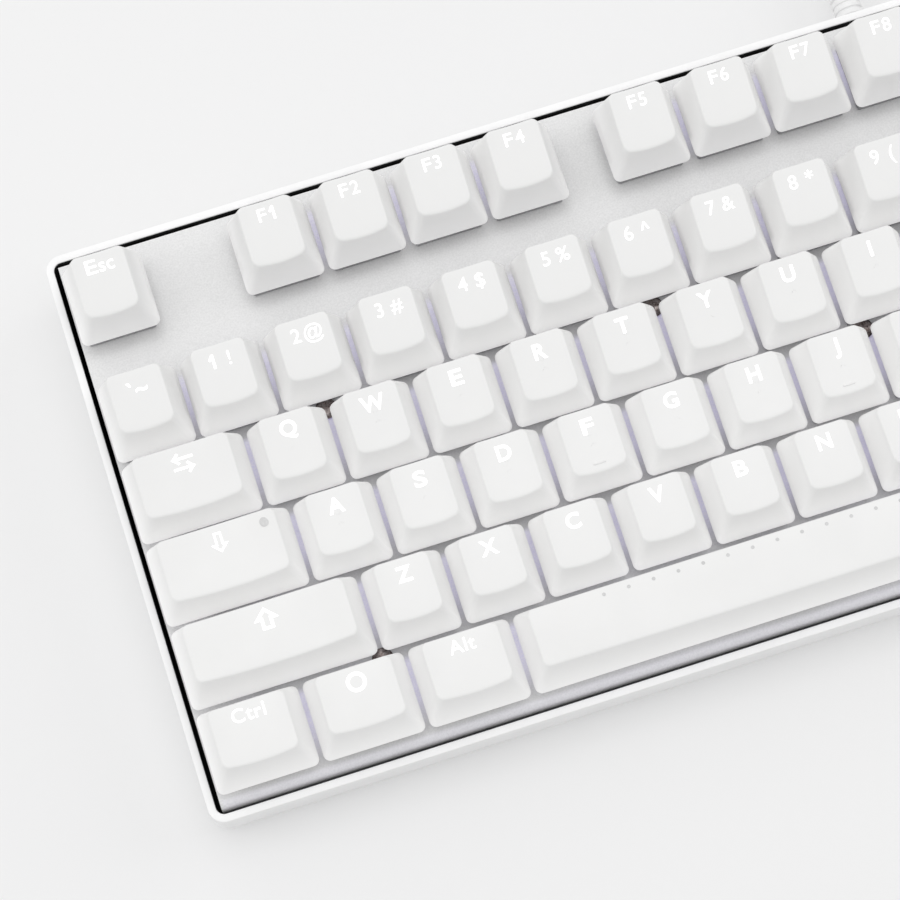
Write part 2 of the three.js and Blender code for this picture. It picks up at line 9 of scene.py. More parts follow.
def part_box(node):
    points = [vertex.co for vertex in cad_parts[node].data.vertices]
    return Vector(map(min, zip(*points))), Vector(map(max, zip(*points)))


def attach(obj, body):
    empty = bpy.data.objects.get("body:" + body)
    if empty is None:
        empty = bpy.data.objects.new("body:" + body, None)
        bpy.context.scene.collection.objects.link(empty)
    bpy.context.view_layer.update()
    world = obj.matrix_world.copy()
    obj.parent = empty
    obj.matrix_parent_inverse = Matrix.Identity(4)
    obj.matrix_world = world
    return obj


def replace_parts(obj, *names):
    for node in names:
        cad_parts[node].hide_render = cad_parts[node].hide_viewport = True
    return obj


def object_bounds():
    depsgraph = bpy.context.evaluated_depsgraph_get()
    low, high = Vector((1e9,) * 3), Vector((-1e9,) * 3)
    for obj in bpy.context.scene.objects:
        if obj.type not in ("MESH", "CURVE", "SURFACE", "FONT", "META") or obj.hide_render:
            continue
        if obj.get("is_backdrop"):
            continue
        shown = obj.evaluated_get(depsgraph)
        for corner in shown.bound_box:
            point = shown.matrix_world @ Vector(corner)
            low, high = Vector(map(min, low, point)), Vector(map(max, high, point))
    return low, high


# A compact mechanical keyboard with lit keys, its lead coiled behind it.
# Lengths are millimetres; the two placing matrices below turn them into metres in the row frame.

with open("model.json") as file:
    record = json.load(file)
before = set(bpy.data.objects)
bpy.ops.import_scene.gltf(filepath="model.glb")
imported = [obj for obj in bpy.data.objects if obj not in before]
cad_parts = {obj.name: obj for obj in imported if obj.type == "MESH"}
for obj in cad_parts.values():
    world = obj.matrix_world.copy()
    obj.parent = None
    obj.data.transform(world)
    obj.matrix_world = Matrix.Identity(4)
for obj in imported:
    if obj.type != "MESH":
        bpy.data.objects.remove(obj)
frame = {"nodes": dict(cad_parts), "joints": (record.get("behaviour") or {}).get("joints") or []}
cad_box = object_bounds()

# Key field, in the plate's own frame: x from the left edge of the keys, y from their front edge,
# z up from the plate's top face.
UNIT = 19.05
KEY_GAP = 0.95
FIELD_WIDTH = 18.25 * UNIT
FUNCTION_ROW = (5.46, 6.46)
FUNCTION_ROW_Y = FUNCTION_ROW[0] * UNIT
FIELD_DEPTH = FUNCTION_ROW_Y + UNIT
SKIRT = 5.5
SIDE_INSET = 3.05

PLATE = {"side": 0.05, "back": FIELD_DEPTH + 2.55, "front": -2.2, "lip": 4.2, "thickness": 1.2, "bend": 2.1}
BEND_START = PLATE["front"] + PLATE["bend"]
BEND_LENGTH = math.pi / 2 * PLATE["bend"]
CAD_PLATE_THICKNESS = 1.5
RIM = {"width": 1.8, "side": 1.15, "front": 2.7, "back": 3.6, "radius": 1.9}
FRONT_SLOPE = 0.015
FOOT_GAP = 1.5
FLOOR_TOP = 3.7

# Keycap rows: front edge, how far the top is set in from the skirt, and its two heights
ROWS = {
    "bottom": {"y": 0, "front_in": 4.2, "back_in": 1.1, "front": 9.2, "back": 8},
    "shift": {"y": UNIT, "front_in": 4.3, "back_in": 0.9, "front": 8.9, "back": 8.2},
    "home": {"y": 2 * UNIT, "front_in": 3.75, "back_in": 0.9, "front": 7.9, "back": 8.4},
    "upper": {"y": 3 * UNIT, "front_in": 3.65, "back_in": 1.1, "front": 8.4, "back": 9.6},
    "number": {"y": 4 * UNIT, "front_in": 4.3, "back_in": 1.35, "front": 9.3, "back": 11.2},
    "function": {"y": FUNCTION_ROW_Y, "front_in": 3.7, "back_in": 1.35, "front": 9, "back": 11.5},
}

# Runs of keys: CAD node, row, left edge and widths in key units, labels
RUNS = [
    ("key_escape", "function", 0, [1], ["Esc"]),
    ("keys_f1_to_f4", "function", 2, [1] * 4, ["F1", "F2", "F3", "F4"]),
    ("keys_f5_to_f8", "function", 6.5, [1] * 4, ["F5", "F6", "F7", "F8"]),
    ("keys_f9_to_f12", "function", 11, [1] * 4, ["F9", "F10", "F11", "F12"]),
    ("keys_system", "function", 15.25, [1] * 3, ["Prt", "Scr", "Brk"]),
    ("key_backquote", "number", 0, [1], ["`~"]),
    ("keys_number_left", "number", 1, [1] * 6, ["1!", "2@", "3#", "4$", "5%", "6^"]),
    ("keys_number_right", "number", 7, [1] * 6, ["7&", "8*", "9(", "0)", "-_", "=+"]),
    ("key_backspace", "number", 13, [2], ["←"]),
    ("keys_navigation", "number", 15.25, [1] * 3, ["Ins", "Hm", "Up"]),
    ("key_tab", "upper", 0, [1.5], ["⇆"]),
    ("keys_upper_left", "upper", 1.5, [1] * 5, list("QWERT")),
    ("keys_upper_right", "upper", 6.5, [1] * 7, ["Y", "U", "I", "O", "P", "[{", "]}"]),
    ("key_backslash", "upper", 13.5, [1.5], ["\\|"]),
    ("keys_navigation", "upper", 15.25, [1] * 3, ["Del", "End", "Dn"]),
    ("key_caps_lock", "home", 0, [1.75], ["⇩"]),
    ("keys_home", "home", 1.75, [1] * 11, list("ASDFGHJKL") + [";:", "'\""]),
    ("key_enter", "home", 12.75, [2.25], ["↵"]),
    ("key_left_shift", "shift", 0, [2.25], ["⇧"]),
    ("keys_lower", "shift", 2.25, [1] * 10, list("ZXCVBNM") + [",<", ".>", "/?"]),
    ("key_right_shift", "shift", 12.25, [2.75], ["⇧"]),
    ("key_up", "shift", 16.25, [1], ["↑"]),
    ("key_left_control", "bottom", 0, [1.25], ["Ctrl"]),
    ("key_left_super", "bottom", 1.25, [1.25], ["ring"]),
    ("key_left_alt", "bottom", 2.5, [1.25], ["Alt"]),
    ("key_space", "bottom", 3.75, [6.25], ["dots"]),
    ("key_right_alt", "bottom", 10, [1.25], ["Alt"]),
    ("key_right_super", "bottom", 11.25, [1.25], ["ring"]),
    ("key_menu", "bottom", 12.5, [1.25], ["bars"]),
    ("key_right_control", "bottom", 13.75, [1.25], ["Ctrl"]),
    ("key_left", "bottom", 15.25, [1], ["←"]),
    ("key_down", "bottom", 16.25, [1], ["↓"]),
    ("key_right", "bottom", 17.25, [1], ["→"]),
]

# Screws between the keys, in key units across and up the plate
SCREWS = [(2.5, 4), (6.5, 4), (12.5, 4), (8.75, 3), (2.25, 1), (12.25, 1)]

# Placing ----------------------------------------------------------------------------------

MM = 0.001
press_axis = frame["joints"][0]["axis"]
TILT = math.atan2(press_axis[1], -press_axis[2])
plate_low, plate_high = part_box("switch_plate")
ORIGIN = Vector((
    plate_low.x + PLATE["side"] * MM,
    plate_high.y - (PLATE["back"] * math.cos(TILT) + CAD_PLATE_THICKNESS * math.sin(TILT)) * MM,
    plate_high.z - PLATE["back"] * math.sin(TILT) * MM,
))
TURN = Matrix.Rotation(TILT, 4, "X")
ON_PLATE = Matrix.Translation(ORIGIN) @ TURN @ Matrix.Scale(MM, 4)
ON_DESK = Matrix.Scale(MM, 4)
PLATE_TO_DESK = ON_DESK.inverted() @ ON_PLATE
REAR_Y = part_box("bottom_case")[1].y / MM


def add_object(name, data):
    made = bpy.data.objects.new(name, data)
    bpy.context.scene.collection.objects.link(made)
    return made


def box_mm(name):
    """A CAD node's box in millimetres: its low and high corners, its centre and its half size."""
    low, high = (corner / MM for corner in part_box(name))
    centre = [(a + b) / 2 for a, b in zip(low, high)]
    half = [(b - a) / 2 for a, b in zip(low, high)]
    return low, high, centre, half

# Camera and light -------------------------------------------------------------------------

EYE = (30.57, -81.67, 648.48)
AIM = Vector((0.06064, 0.21153, -0.97549))
HEAD_UP = Vector((0.29811, 0.92885, 0.21994))
LENS = 120.41


def make_camera():
    data = bpy.data.cameras.new("camera")
    data.sensor_width = 36
    data.lens = LENS
    data.clip_start = 0.01
    data.clip_end = 20
    camera = add_object("camera", data)
    back = -AIM.normalized()
    right = HEAD_UP.cross(back).normalized()
    axes = Matrix((right, back.cross(right), back)).transposed().to_4x4()
    camera.matrix_world = Matrix.Translation(ON_PLATE @ Vector(EYE)) @ TURN @ axes
    bpy.context.scene.camera = camera


def softbox(name, place, power, size=0.9):
    data = bpy.data.lights.new(name, "AREA")
    data.size = size
    data.energy = power
    light = add_object(name, data)
    light.location = place
    light.rotation_mode = "QUATERNION"
    light.rotation_quaternion = (-Vector(place)).to_track_quat("-Z", "Y")


def light_the_scene():
    scene = bpy.context.scene
    scene.view_settings.view_transform = "Standard"
    world = bpy.data.worlds.new("studio")
    world.use_nodes = True
    background = world.node_tree.nodes["Background"]
    background.inputs["Color"].default_value = (1, 1, 1, 1)
    background.inputs["Strength"].default_value = 0.70
    scene.world = world
    softbox("softbox_over", (0, 0, 1.3), 2.35)
    softbox("softbox_behind", (-0.3, 0.68, 0.95), 1.3)
    softbox("softbox_left", (-1.0, 0.1, 0.8), 2.3)
    softbox("softbox_right", (1.0, 0.1, 0.8), 2.5)


# Mesh helpers -----------------------------------------------------------------------------


def lerp(a, b, t):
    return tuple(p + (q - p) * t for p, q in zip(a, b))


def level(points, z):
    return [(x, y, z) for x, y in points]


def around(middle, half):
    return (middle - half, middle + half)


def piece(name, bm, body, finishes, place=ON_DESK, sharp=35, seat=None):
    """A closed mesh in millimetres becomes a named piece that rides on a body."""
    bmesh.ops.recalc_face_normals(bm, faces=bm.faces)
    mesh = bpy.data.meshes.new(name)
    bm.to_mesh(mesh)
    bm.free()
    mesh.transform(ON_DESK if seat else place)
    for finish in finishes:
        mesh.materials.append(FINISH[finish])
    mesh.polygons.foreach_set("use_smooth", [True] * len(mesh.polygons))
    mesh.set_sharp_from_angle(angle=math.radians(sharp))
    made = add_object(name, mesh)
    if seat:
        made.matrix_world = seat
    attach(made, body)
    return made


def ring(half_x, half_y, radius, centre=(0, 0), steps=(4, 1, 1)):
    """Points round a rectangle with round corners; steps are for corners, x sides and y sides."""
    corner_steps, x_steps, y_steps = steps
    radius = min(radius, half_x, half_y)
    corners = []
    for i, (sx, sy) in enumerate([(1, -1), (1, 1), (-1, 1), (-1, -1)]):
        turns = [math.radians(-90 + 90 * i + 90 * k / corner_steps) for k in range(corner_steps + 1)]
        corners.append([
            (
                centre[0] + sx * (half_x - radius) + radius * math.cos(turn),
                centre[1] + sy * (half_y - radius) + radius * math.sin(turn),
            )
            for turn in turns
        ])
    points = []
    for i, corner in enumerate(corners):
        along = (y_steps, x_steps)[i % 2]
        far_end = corners[(i + 1) % 4][0]
        points += corner + [lerp(corner[-1], far_end, k / along) for k in range(1, along)]
    return points


def loft(bm, loops, material=0, capped=True):
    """Joins loops of equal length into a closed skin; returns the loops' vertices."""
    rows = [[bm.verts.new(p) for p in loop] for loop in loops]
    faces = []
    for low, high in zip(rows, rows[1:]):
        for i in range(len(low)):
            j = (i + 1) % len(low)
            faces.append(bm.faces.new((low[i], low[j], high[j], high[i])))
    if capped:
        faces.append(bm.faces.new(rows[0][::-1]))
        faces.append(bm.faces.new(rows[-1]))
    for face in faces:
        face.material_index = material
    return rows


def fill_strips(bm, loop, steps):
    """Closes a loop made by ring() with strips that run from its front to its back."""
    corner_steps, _x_steps, y_steps = steps
    count = len(loop)
    turn = 2 * corner_steps + y_steps
    start = turn // 2
    for i in range(start, start - count // 2, -1):
        corners = (i, i - 1, turn - i + 1, turn - i)
        used = list(dict.fromkeys(loop[c % count] for c in corners))
        if len(used) > 2:
            bm.faces.new(used)


def block(bm, x, y, z, bevel=0.2, material=0):
    """A box with rounded edges."""
    made = bmesh.ops.create_cube(bm, size=1)
    size = Vector((x[1] - x[0], y[1] - y[0], z[1] - z[0]))
    centre = Vector((sum(x), sum(y), sum(z))) / 2
    for v in made["verts"]:
        v.co = Vector(a * b for a, b in zip(v.co, size)) + centre
    edges = list(dict.fromkeys(e for v in made["verts"] for e in v.link_edges))
    faces = list(dict.fromkeys(f for v in made["verts"] for f in v.link_faces))
    if bevel:
        cut = bmesh.ops.bevel(bm, geom=edges, offset=bevel, segments=2, profile=0.5, affect="EDGES")
        faces = [f for f in faces if f.is_valid] + cut["faces"]
    for face in faces:
        face.material_index = material


def turned(bm, profile, centre, axis="z", sides=32, material=0):
    """A turned solid: profile is (radius, height) from one end to the other."""
    loops = []
    for radius, height in profile:
        loop = []
        for i in range(sides):
            angle = 2 * math.pi * i / sides
            a, b = radius * math.cos(angle), radius * math.sin(angle)
            local = {"z": (a, b, height), "y": (a, height, -b), "x": (height, a, b)}[axis]
            loop.append(Vector(centre) + Vector(local))
        loops.append(loop)
    loft(bm, loops, material)


def drop_into(bm, other, material):
    """Adds another bmesh's solids to this one with one material."""
    twins = {v: bm.verts.new(v.co) for v in other.verts}
    for face in other.faces:
        corners = [twins[v] for v in face.verts]
        if len(set(corners)) > 2:
            bm.faces.new(corners).material_index = material
    other.free()


def from_curve(curve, merge):
    """A filled curve or text as a bmesh, its doubled points merged."""
    holder = add_object("holder", curve)
    mesh = bpy.data.meshes.new_from_object(holder)
    bpy.data.objects.remove(holder)
    bm = bmesh.new()
    bm.from_mesh(mesh)
    bpy.data.meshes.remove(mesh)
    bmesh.ops.remove_doubles(bm, verts=bm.verts, dist=merge)
    return bm


def combine(target, other_bm, operation):
    """Joins the closed shapes of a bmesh to a piece, or cuts them out of it."""
    bmesh.ops.recalc_face_normals(other_bm, faces=other_bm.faces)
    mesh = bpy.data.meshes.new("other")
    other_bm.to_mesh(mesh)
    other_bm.free()
    mesh.transform(ON_DESK)
    for surface in target.data.materials:
        mesh.materials.append(surface)
    other = add_object("other", mesh)
    step = target.modifiers.new("combine", "BOOLEAN")
    step.operation = operation
    step.solver = "EXACT"
    step.use_self = True
    step.object = other
    bpy.context.view_layer.update()
    depsgraph = bpy.context.evaluated_depsgraph_get()
    result = bpy.data.meshes.new_from_object(target.evaluated_get(depsgraph))
    target.modifiers.clear()
    target.data = result
    bpy.data.objects.remove(other)


# Material helpers -------------------------------------------------------------------------


class Finish:
    """A Principled material with a few node helpers; coordinates are in metres."""

    def __init__(self, name, colour, roughness, metallic=0.0, **constants):
        self.material = bpy.data.materials.new(name)
        self.material.use_nodes = True
        self.nodes = self.material.node_tree.nodes
        self.links = self.material.node_tree.links
        self.shader = self.nodes["Principled BSDF"]
        self.surface(Base_Color=(*colour, 1), Roughness=roughness, Metallic=metallic, **constants)
        self.where = self.add("TexCoord").outputs["Object"]

    def connect(self, socket, given):
        """Links another node's output to a socket, or sets the socket to a value."""
        if isinstance(given, bpy.types.NodeSocket):
            self.links.new(given, socket)
        else:
            socket.default_value = given

    def add(self, kind, **inputs):
        node = self.nodes.new("ShaderNode" + kind)
        for name, given in inputs.items():
            self.connect(node.inputs[name.replace("_", " ")], given)
        return node

    def surface(self, **inputs):
        for name, given in inputs.items():
            self.connect(self.shader.inputs[name.replace("_", " ")], given)
        return self

    def math(self, operation, *inputs, kind="Math"):
        node = self.add(kind)
        node.operation = operation
        for socket, given in zip(node.inputs, inputs):
            self.connect(socket, given)
        return node.outputs["Vector" if kind == "VectorMath" and operation != "DOT_PRODUCT" else "Value"]

    def vector(self, operation, *inputs):
        return self.math(operation, *inputs, kind="VectorMath")

    def split(self, vector):
        return self.add("SeparateXYZ", Vector=vector).outputs

    def noise(self, scale, detail=2.0, stretch=None):
        where = self.where
        if stretch:
            where = self.add("Mapping", Scale=stretch, Vector=where).outputs["Vector"]
        return self.add("TexNoise", Scale=scale, Detail=detail, Vector=where).outputs["Fac"]

    def spread(self, factor, low, high, start=0.3, end=0.7):
        node = self.add("MapRange", Value=factor, From_Min=start, From_Max=end, To_Min=low, To_Max=high)
        return node.outputs["Result"]

    def fade(self, value, start, end):
        """0 before the start and 1 after the end, eased in between."""
        node = self.add("MapRange", Value=value, From_Min=start, From_Max=end)
        node.interpolation_type = "SMOOTHSTEP"
        return node.outputs["Result"]

    def tint(self, factor, dark, light):
        node = self.add("ValToRGB", Fac=factor)
        for element, place, colour in zip(node.color_ramp.elements, (0.3, 0.7), (dark, light)):
            element.position = place
            element.color = (*colour, 1)
        return self.surface(Base_Color=node.outputs["Color"])

    def gloss(self, factor, low, high):
        return self.surface(Roughness=self.spread(factor, low, high))

    def bump(self, height, strength, distance):
        node = self.add("Bump", Strength=strength, Distance=distance, Height=height)
        return self.surface(Normal=node.outputs["Normal"])

    def glow(self, colour, strength, sampled=False):
        """Gives off light; strength is a number, or an output where it varies."""
        if not sampled:
            self.material.cycles.emission_sampling = "NONE"
        return self.surface(Emission_Color=(*colour, 1), Emission_Strength=strength)


def grey(value):
    return (value, value, value)


WHITE = grey(1)
BACKLIGHT = (0.60, 0.56, 0.86)
# Rectangles filled with keys, in key units across and up the plate
KEYED_BOXES = [
    ((0, 15), (0, 5)),
    ((15.25, 18.25), (3, 5)),
    ((15.25, 18.25), (0, 1)),
    ((16.25, 17.25), (1, 2)),
    ((0, 1), FUNCTION_ROW),
    ((2, 6), FUNCTION_ROW),
    ((6.5, 10.5), FUNCTION_ROW),
    ((11, 15), FUNCTION_ROW),
    ((15.25, 18.25), FUNCTION_ROW),
]


def keycap_finish():
    """White moulding with painted light: its walls glow as the key's own light showing through them would,
    most of all near the skirt.
    """
    made = Finish("keycap_white", (0.80, 0.80, 0.795), 0.5)
    made.tint(made.noise(90, 3), (0.79, 0.79, 0.785), (0.81, 0.81, 0.805))
    made.gloss(made.noise(700, 3), 0.44, 0.58)
    height = made.split(made.where)["Z"]
    # painted light: the walls glow, strongest at the skirt and faint on the top
    made.glow((1, 0.985, 0.985), made.spread(height, 0.17, 0.03, 0.0, 8.5 * MM))
    return made.bump(made.noise(3800, 2), 0.10, 0.00004).material


def legend_finish():
    made = Finish("legend_lit", grey(0.95), 0.4)
    made.tint(made.noise(900, 2), grey(0.93), grey(0.97))
    # painted light: the legends glow as if lit through from the key's lamp
    made.glow(WHITE, 0.55, sampled=True)
    return made.bump(made.noise(3000, 2), 0.05, 0.00003).material


def tray_finish():
    """White moulding; painted light: only the flat top of the rim glows a little, a painted highlight."""
    made = Finish("tray_white", grey(0.88), 0.45, Coat_Weight=0.1)
    made.tint(made.noise(160, 4), grey(0.86), grey(0.9))
    made.gloss(made.noise(1500, 2), 0.38, 0.55)
    up = (TURN.to_3x3() @ Vector((0, 0, 1))).normalized()
    rim_level = (ON_PLATE @ Vector((0, 0, 0))).dot(up)
    height = made.vector("DOT_PRODUCT", made.where, up)
    # painted highlight: 1 on the flat top of the rim, then a faint glow there
    rim = made.fade(height, rim_level - 0.35 * MM, rim_level - 0.05 * MM)
    made.glow(WHITE, made.math("MULTIPLY", rim, 0.07))
    return made.bump(made.noise(2400, 3), 0.35, 0.00006).material


def tray_inside_finish():
    made = Finish("tray_inside_dark", grey(0.012), 0.7)
    made.tint(made.noise(300, 3), grey(0.008), grey(0.02))
    return made.bump(made.noise(1800, 3), 0.3, 0.0001).material


def place_in_row(made, row):
    """How far into its row a point is: 0 at the front edge of the keys, 1 at their back edge."""
    front = ON_PLATE @ Vector((0, row * UNIT, 0))
    back = ON_PLATE @ Vector((0, (row + 1) * UNIT, 0))
    offset = made.vector("SUBTRACT", made.where, front)
    along = made.vector("DOT_PRODUCT", offset, (back - front) / (back - front).length_squared)
    return made.math("FRACT", along)


def box_mask(made, span_x, span_y, inset, soft):
    """1 well inside a rectangle of the plate and 0 outside it, with a soft edge."""
    low = ON_PLATE @ Vector((span_x[0] * UNIT, span_y[0] * UNIT, 0))
    high = ON_PLATE @ Vector((span_x[1] * UNIT, span_y[1] * UNIT, 0))
    offset = made.vector("SUBTRACT", made.where, (low + high) / 2)
    beyond = made.vector("SUBTRACT", made.vector("ABSOLUTE", offset), (high - low) / 2)
    sides = made.split(beyond)
    furthest = made.math("MAXIMUM", sides["X"], sides["Y"])
    return made.fade(furthest, -(inset - soft) * MM, -(inset + soft) * MM)


def backlight_mask(made, span_x, span_y):
    """Painted light between the keys of a row, stronger towards the back; none outside the rectangle."""
    inside = box_mask(made, span_x, span_y, inset=2.3, soft=1.8)
    in_row = place_in_row(made, span_y[0])
    between = made.math("MULTIPLY", made.fade(in_row, 0.05, 0.6), made.fade(in_row, 0.99, 0.86))
    return made.math("MULTIPLY", inside, between)


def plate_finish():
    """Satin metal with painted light: a painted glow between the keys of a row, and a faint one along its
    front edge.
    """
    made = Finish("plate_satin", (0.80, 0.80, 0.81), 0.5, metallic=0.25)
    made.tint(made.noise(2600, 2), grey(0.72), grey(0.80))
    made.gloss(made.noise(1200, 2), 0.4, 0.5)
    made.bump(made.noise(3600, 2), 0.12, 0.00004)
    # painted light: a faint glow on the strip before the bottom row, lifting the shade there
    front_strip_glow = box_mask(made, (0, 18.25), (-0.11, 0.04), inset=0.5, soft=0.5)
    painted_glow = made.math("MULTIPLY", front_strip_glow, 0.25)
    # painted light: the glow of the LEDs pooled between the keys of each row
    for span_x, span_y in KEYED_BOXES:
        painted_glow = made.math("MAXIMUM", painted_glow, backlight_mask(made, span_x, span_y))
    made.glow(BACKLIGHT, made.math("MULTIPLY", painted_glow, 0.34))
    return made.material


def switch_finish():
    made = Finish("switch_smoke", (0.3, 0.3, 0.31), 0.35)
    made.tint(made.noise(400, 3), (0.24, 0.24, 0.25), (0.34, 0.34, 0.35))
    return made.bump(made.noise(2500, 2), 0.2, 0.00005).material


def lamp_finish():
    made = Finish("key_lamp", (0.8, 0.8, 0.9), 0.15)
    made.tint(made.noise(1200, 1), (0.75, 0.75, 0.88), (0.88, 0.88, 0.95))
    made.glow(BACKLIGHT, 0.9)
    return made.material


def board_finish():
    made = Finish("board_green", (0.02, 0.09, 0.05), 0.35)
    cells = made.add(
        "TexBrick", Scale=160, Mortar_Size=0.03, Color1=(0.015, 0.08, 0.04, 1),
        Color2=(0.02, 0.1, 0.055, 1), Mortar=(0.05, 0.2, 0.1, 1), Vector=made.where,
    )
    made.surface(Base_Color=cells.outputs["Color"])
    made.gloss(made.noise(900, 2), 0.28, 0.45)
    return made.bump(cells.outputs["Fac"], 0.3, 0.00005).material


def metal_finish(name, dark, light, rough, grain=1800, stretch=None):
    made = Finish(name, light, rough, metallic=1.0)
    made.tint(made.noise(grain, 3, stretch), dark, light)
    made.gloss(made.noise(grain / 2, 2, stretch), rough * 0.8, rough * 1.25)
    return made.bump(made.noise(grain, 2, stretch), 0.08, 0.00003).material


def rubber_finish(name, dark, light, rough):
    made = Finish(name, light, rough)
    made.tint(made.noise(500, 3), dark, light)
    made.gloss(made.noise(1300, 2), rough - 0.07, rough + 0.07)
    return made.bump(made.noise(2600, 3), 0.25, 0.00008).material


def strap_finish():
    made = Finish("tie_strap", (0.05, 0.05, 0.055), 0.85, Sheen_Weight=0.4)
    weave = made.add("TexWave", Scale=900, Distortion=1.5, Vector=made.where).outputs["Fac"]
    made.tint(weave, (0.035, 0.035, 0.04), (0.07, 0.07, 0.075))
    return made.bump(weave, 0.5, 0.0002).material


FINISH = {
    "keycap": keycap_finish(),
    "legend": legend_finish(),
    "tray": tray_finish(),
    "inside": tray_inside_finish(),
    "plate": plate_finish(),
    "switch": switch_finish(),
    "lamp": lamp_finish(),
    "board": board_finish(),
    "wire": metal_finish("wire_steel", (0.42, 0.43, 0.45), (0.6, 0.61, 0.63), 0.3),
    "screw": metal_finish("screw_steel", (0.16, 0.12, 0.11), (0.42, 0.38, 0.37), 0.28),
    "shell": metal_finish("plug_metal", (0.66, 0.66, 0.67), (0.8, 0.8, 0.81), 0.22, 900, (1, 12, 1)),
    "contact": metal_finish("plug_contact", (0.7, 0.5, 0.2), (0.85, 0.64, 0.3), 0.25),
    "foot": rubber_finish("foot_rubber", (0.022, 0.022, 0.024), (0.045, 0.045, 0.048), 0.75),
    "lead": rubber_finish("lead_white", grey(0.78), grey(0.86), 0.48),
    "moulding": rubber_finish("moulding_white", grey(0.82), grey(0.88), 0.5),
    "window": rubber_finish("lock_window", grey(0.58), grey(0.66), 0.3),
    "tongue": rubber_finish("plug_tongue", (0.05, 0.05, 0.055), (0.09, 0.09, 0.095), 0.4),
    "strap": strap_finish(),
}

# Lead -------------------------------------------------------------------------------------

LEAD_RADIUS = 2.5
EXIT_X = 19.2
EXIT_Z = 9
RELIEF_LENGTH = 27
COIL = {"radius": 37.5, "pitch": 5.1, "turns": 5, "behind": 68, "low": 2.6, "high": 7.65, "lift": 0.6}
CROSS_START = 210
CROSS_SPAN = 150
CLIMB_SPAN = 90
COIL_ANGLE = 9.25 * 360
TIE_ANGLE = -45
TIE = {"width": 10, "thickness": 0.5, "low": 0.62, "high": 10.95, "edge": 0.12}
STEPS_PER_TURN = 24
coil_x = EXIT_X + COIL["radius"]
coil_y = REAR_Y + COIL["behind"]
relief_end = REAR_Y + RELIEF_LENGTH

# From the strain relief down to the desk and into the coil: how far behind it, and how high
ENTRY = [
    (0, 9), (3, 8.75), (6, 8.3), (9, 7.7), (12, 6.9), (15, 6), (18, 5.1), (21, 4.25), (24, 3.55),
    (28, 2.95), (32, 2.65), (36, 2.6),
]
# From the top of the coil down to the plug, measured from the coil's centre
TAIL = [
    (5, 37.5, 7.65), (10, 37.5, 7.65), (15, 37.5, 7.6), (20, 37.5, 7.4), (26, 37.5, 6.3),
    (31, 37.45, 4.9), (35, 37.2, 3.8), (39.5, 36.5, 3), (44, 35, 2.65), (48, 32.7, 2.6),
    (51.2, 29.8, 2.75), (53.6, 26.2, 3.2), (54.7, 22.5, 3.75), (55, 19.5, 4), (55, 16.5, 4),
]


def ease(t):
    t = min(1.0, max(0.0, t))
    return t * t * (3 - 2 * t)


def crossings(angle, first):
    """How many columns the lead has crossed, from the given turn of the coil on."""
    starts = [CROSS_START + 360 * (first + k) for k in range(COIL["turns"] - 1)]
    return sum(ease((angle - start) / CROSS_SPAN) for start in starts)


def coil_point(angle):
    """Where the lead is after that many degrees of the coil: five columns in, then five out."""
    turns = COIL["turns"]
    radius = COIL["radius"] - COIL["pitch"] * (crossings(angle, 0) - crossings(angle, turns))
    climb = ease((angle - 360 * (turns - 1) - CROSS_START + CLIMB_SPAN) / CLIMB_SPAN)
    heading = 180 - angle
    away = (heading - TIE_ANGLE + 180) % 360 - 180
    lift = COIL["lift"] * math.exp(-((away / 25) ** 2))
    z = COIL["low"] + (COIL["high"] - COIL["low"]) * climb + lift
    turn = math.radians(heading)
    return (coil_x + radius * math.cos(turn), coil_y + radius * math.sin(turn), z)


def round_rod(name, radius, roundness, finish):
    """A curve with no points yet, round in section, with closed ends."""
    data = bpy.data.curves.new(name, "CURVE")
    data.dimensions = "3D"
    data.bevel_depth = radius * MM
    data.bevel_resolution = roundness
    data.use_fill_caps = True
    data.materials.append(finish)
    return data


def make_lead(plug_pieces):
    steps = round(COIL_ANGLE / 360 * STEPS_PER_TURN)
    route = [(EXIT_X, relief_end + behind, z) for behind, z in ENTRY]
    route += [coil_point(COIL_ANGLE * k / steps) for k in range(steps + 1)]
    route += [(coil_x + x, coil_y + y, z) for x, y, z in TAIL]
    data = round_rod("lead", LEAD_RADIUS, 5, FINISH["lead"])
    data.resolution_u = 4
    spline = data.splines.new("BEZIER")
    spline.bezier_points.add(len(route) - 1)
    for point, place in zip(spline.bezier_points, route):
        point.co = Vector(place) * MM
        point.handle_left_type = "AUTO"
        point.handle_right_type = "AUTO"
    lead = add_object("lead", data)
    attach(lead, "tray")
    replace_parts(lead, "lead_tube", "lead_coil", "lead_tail")


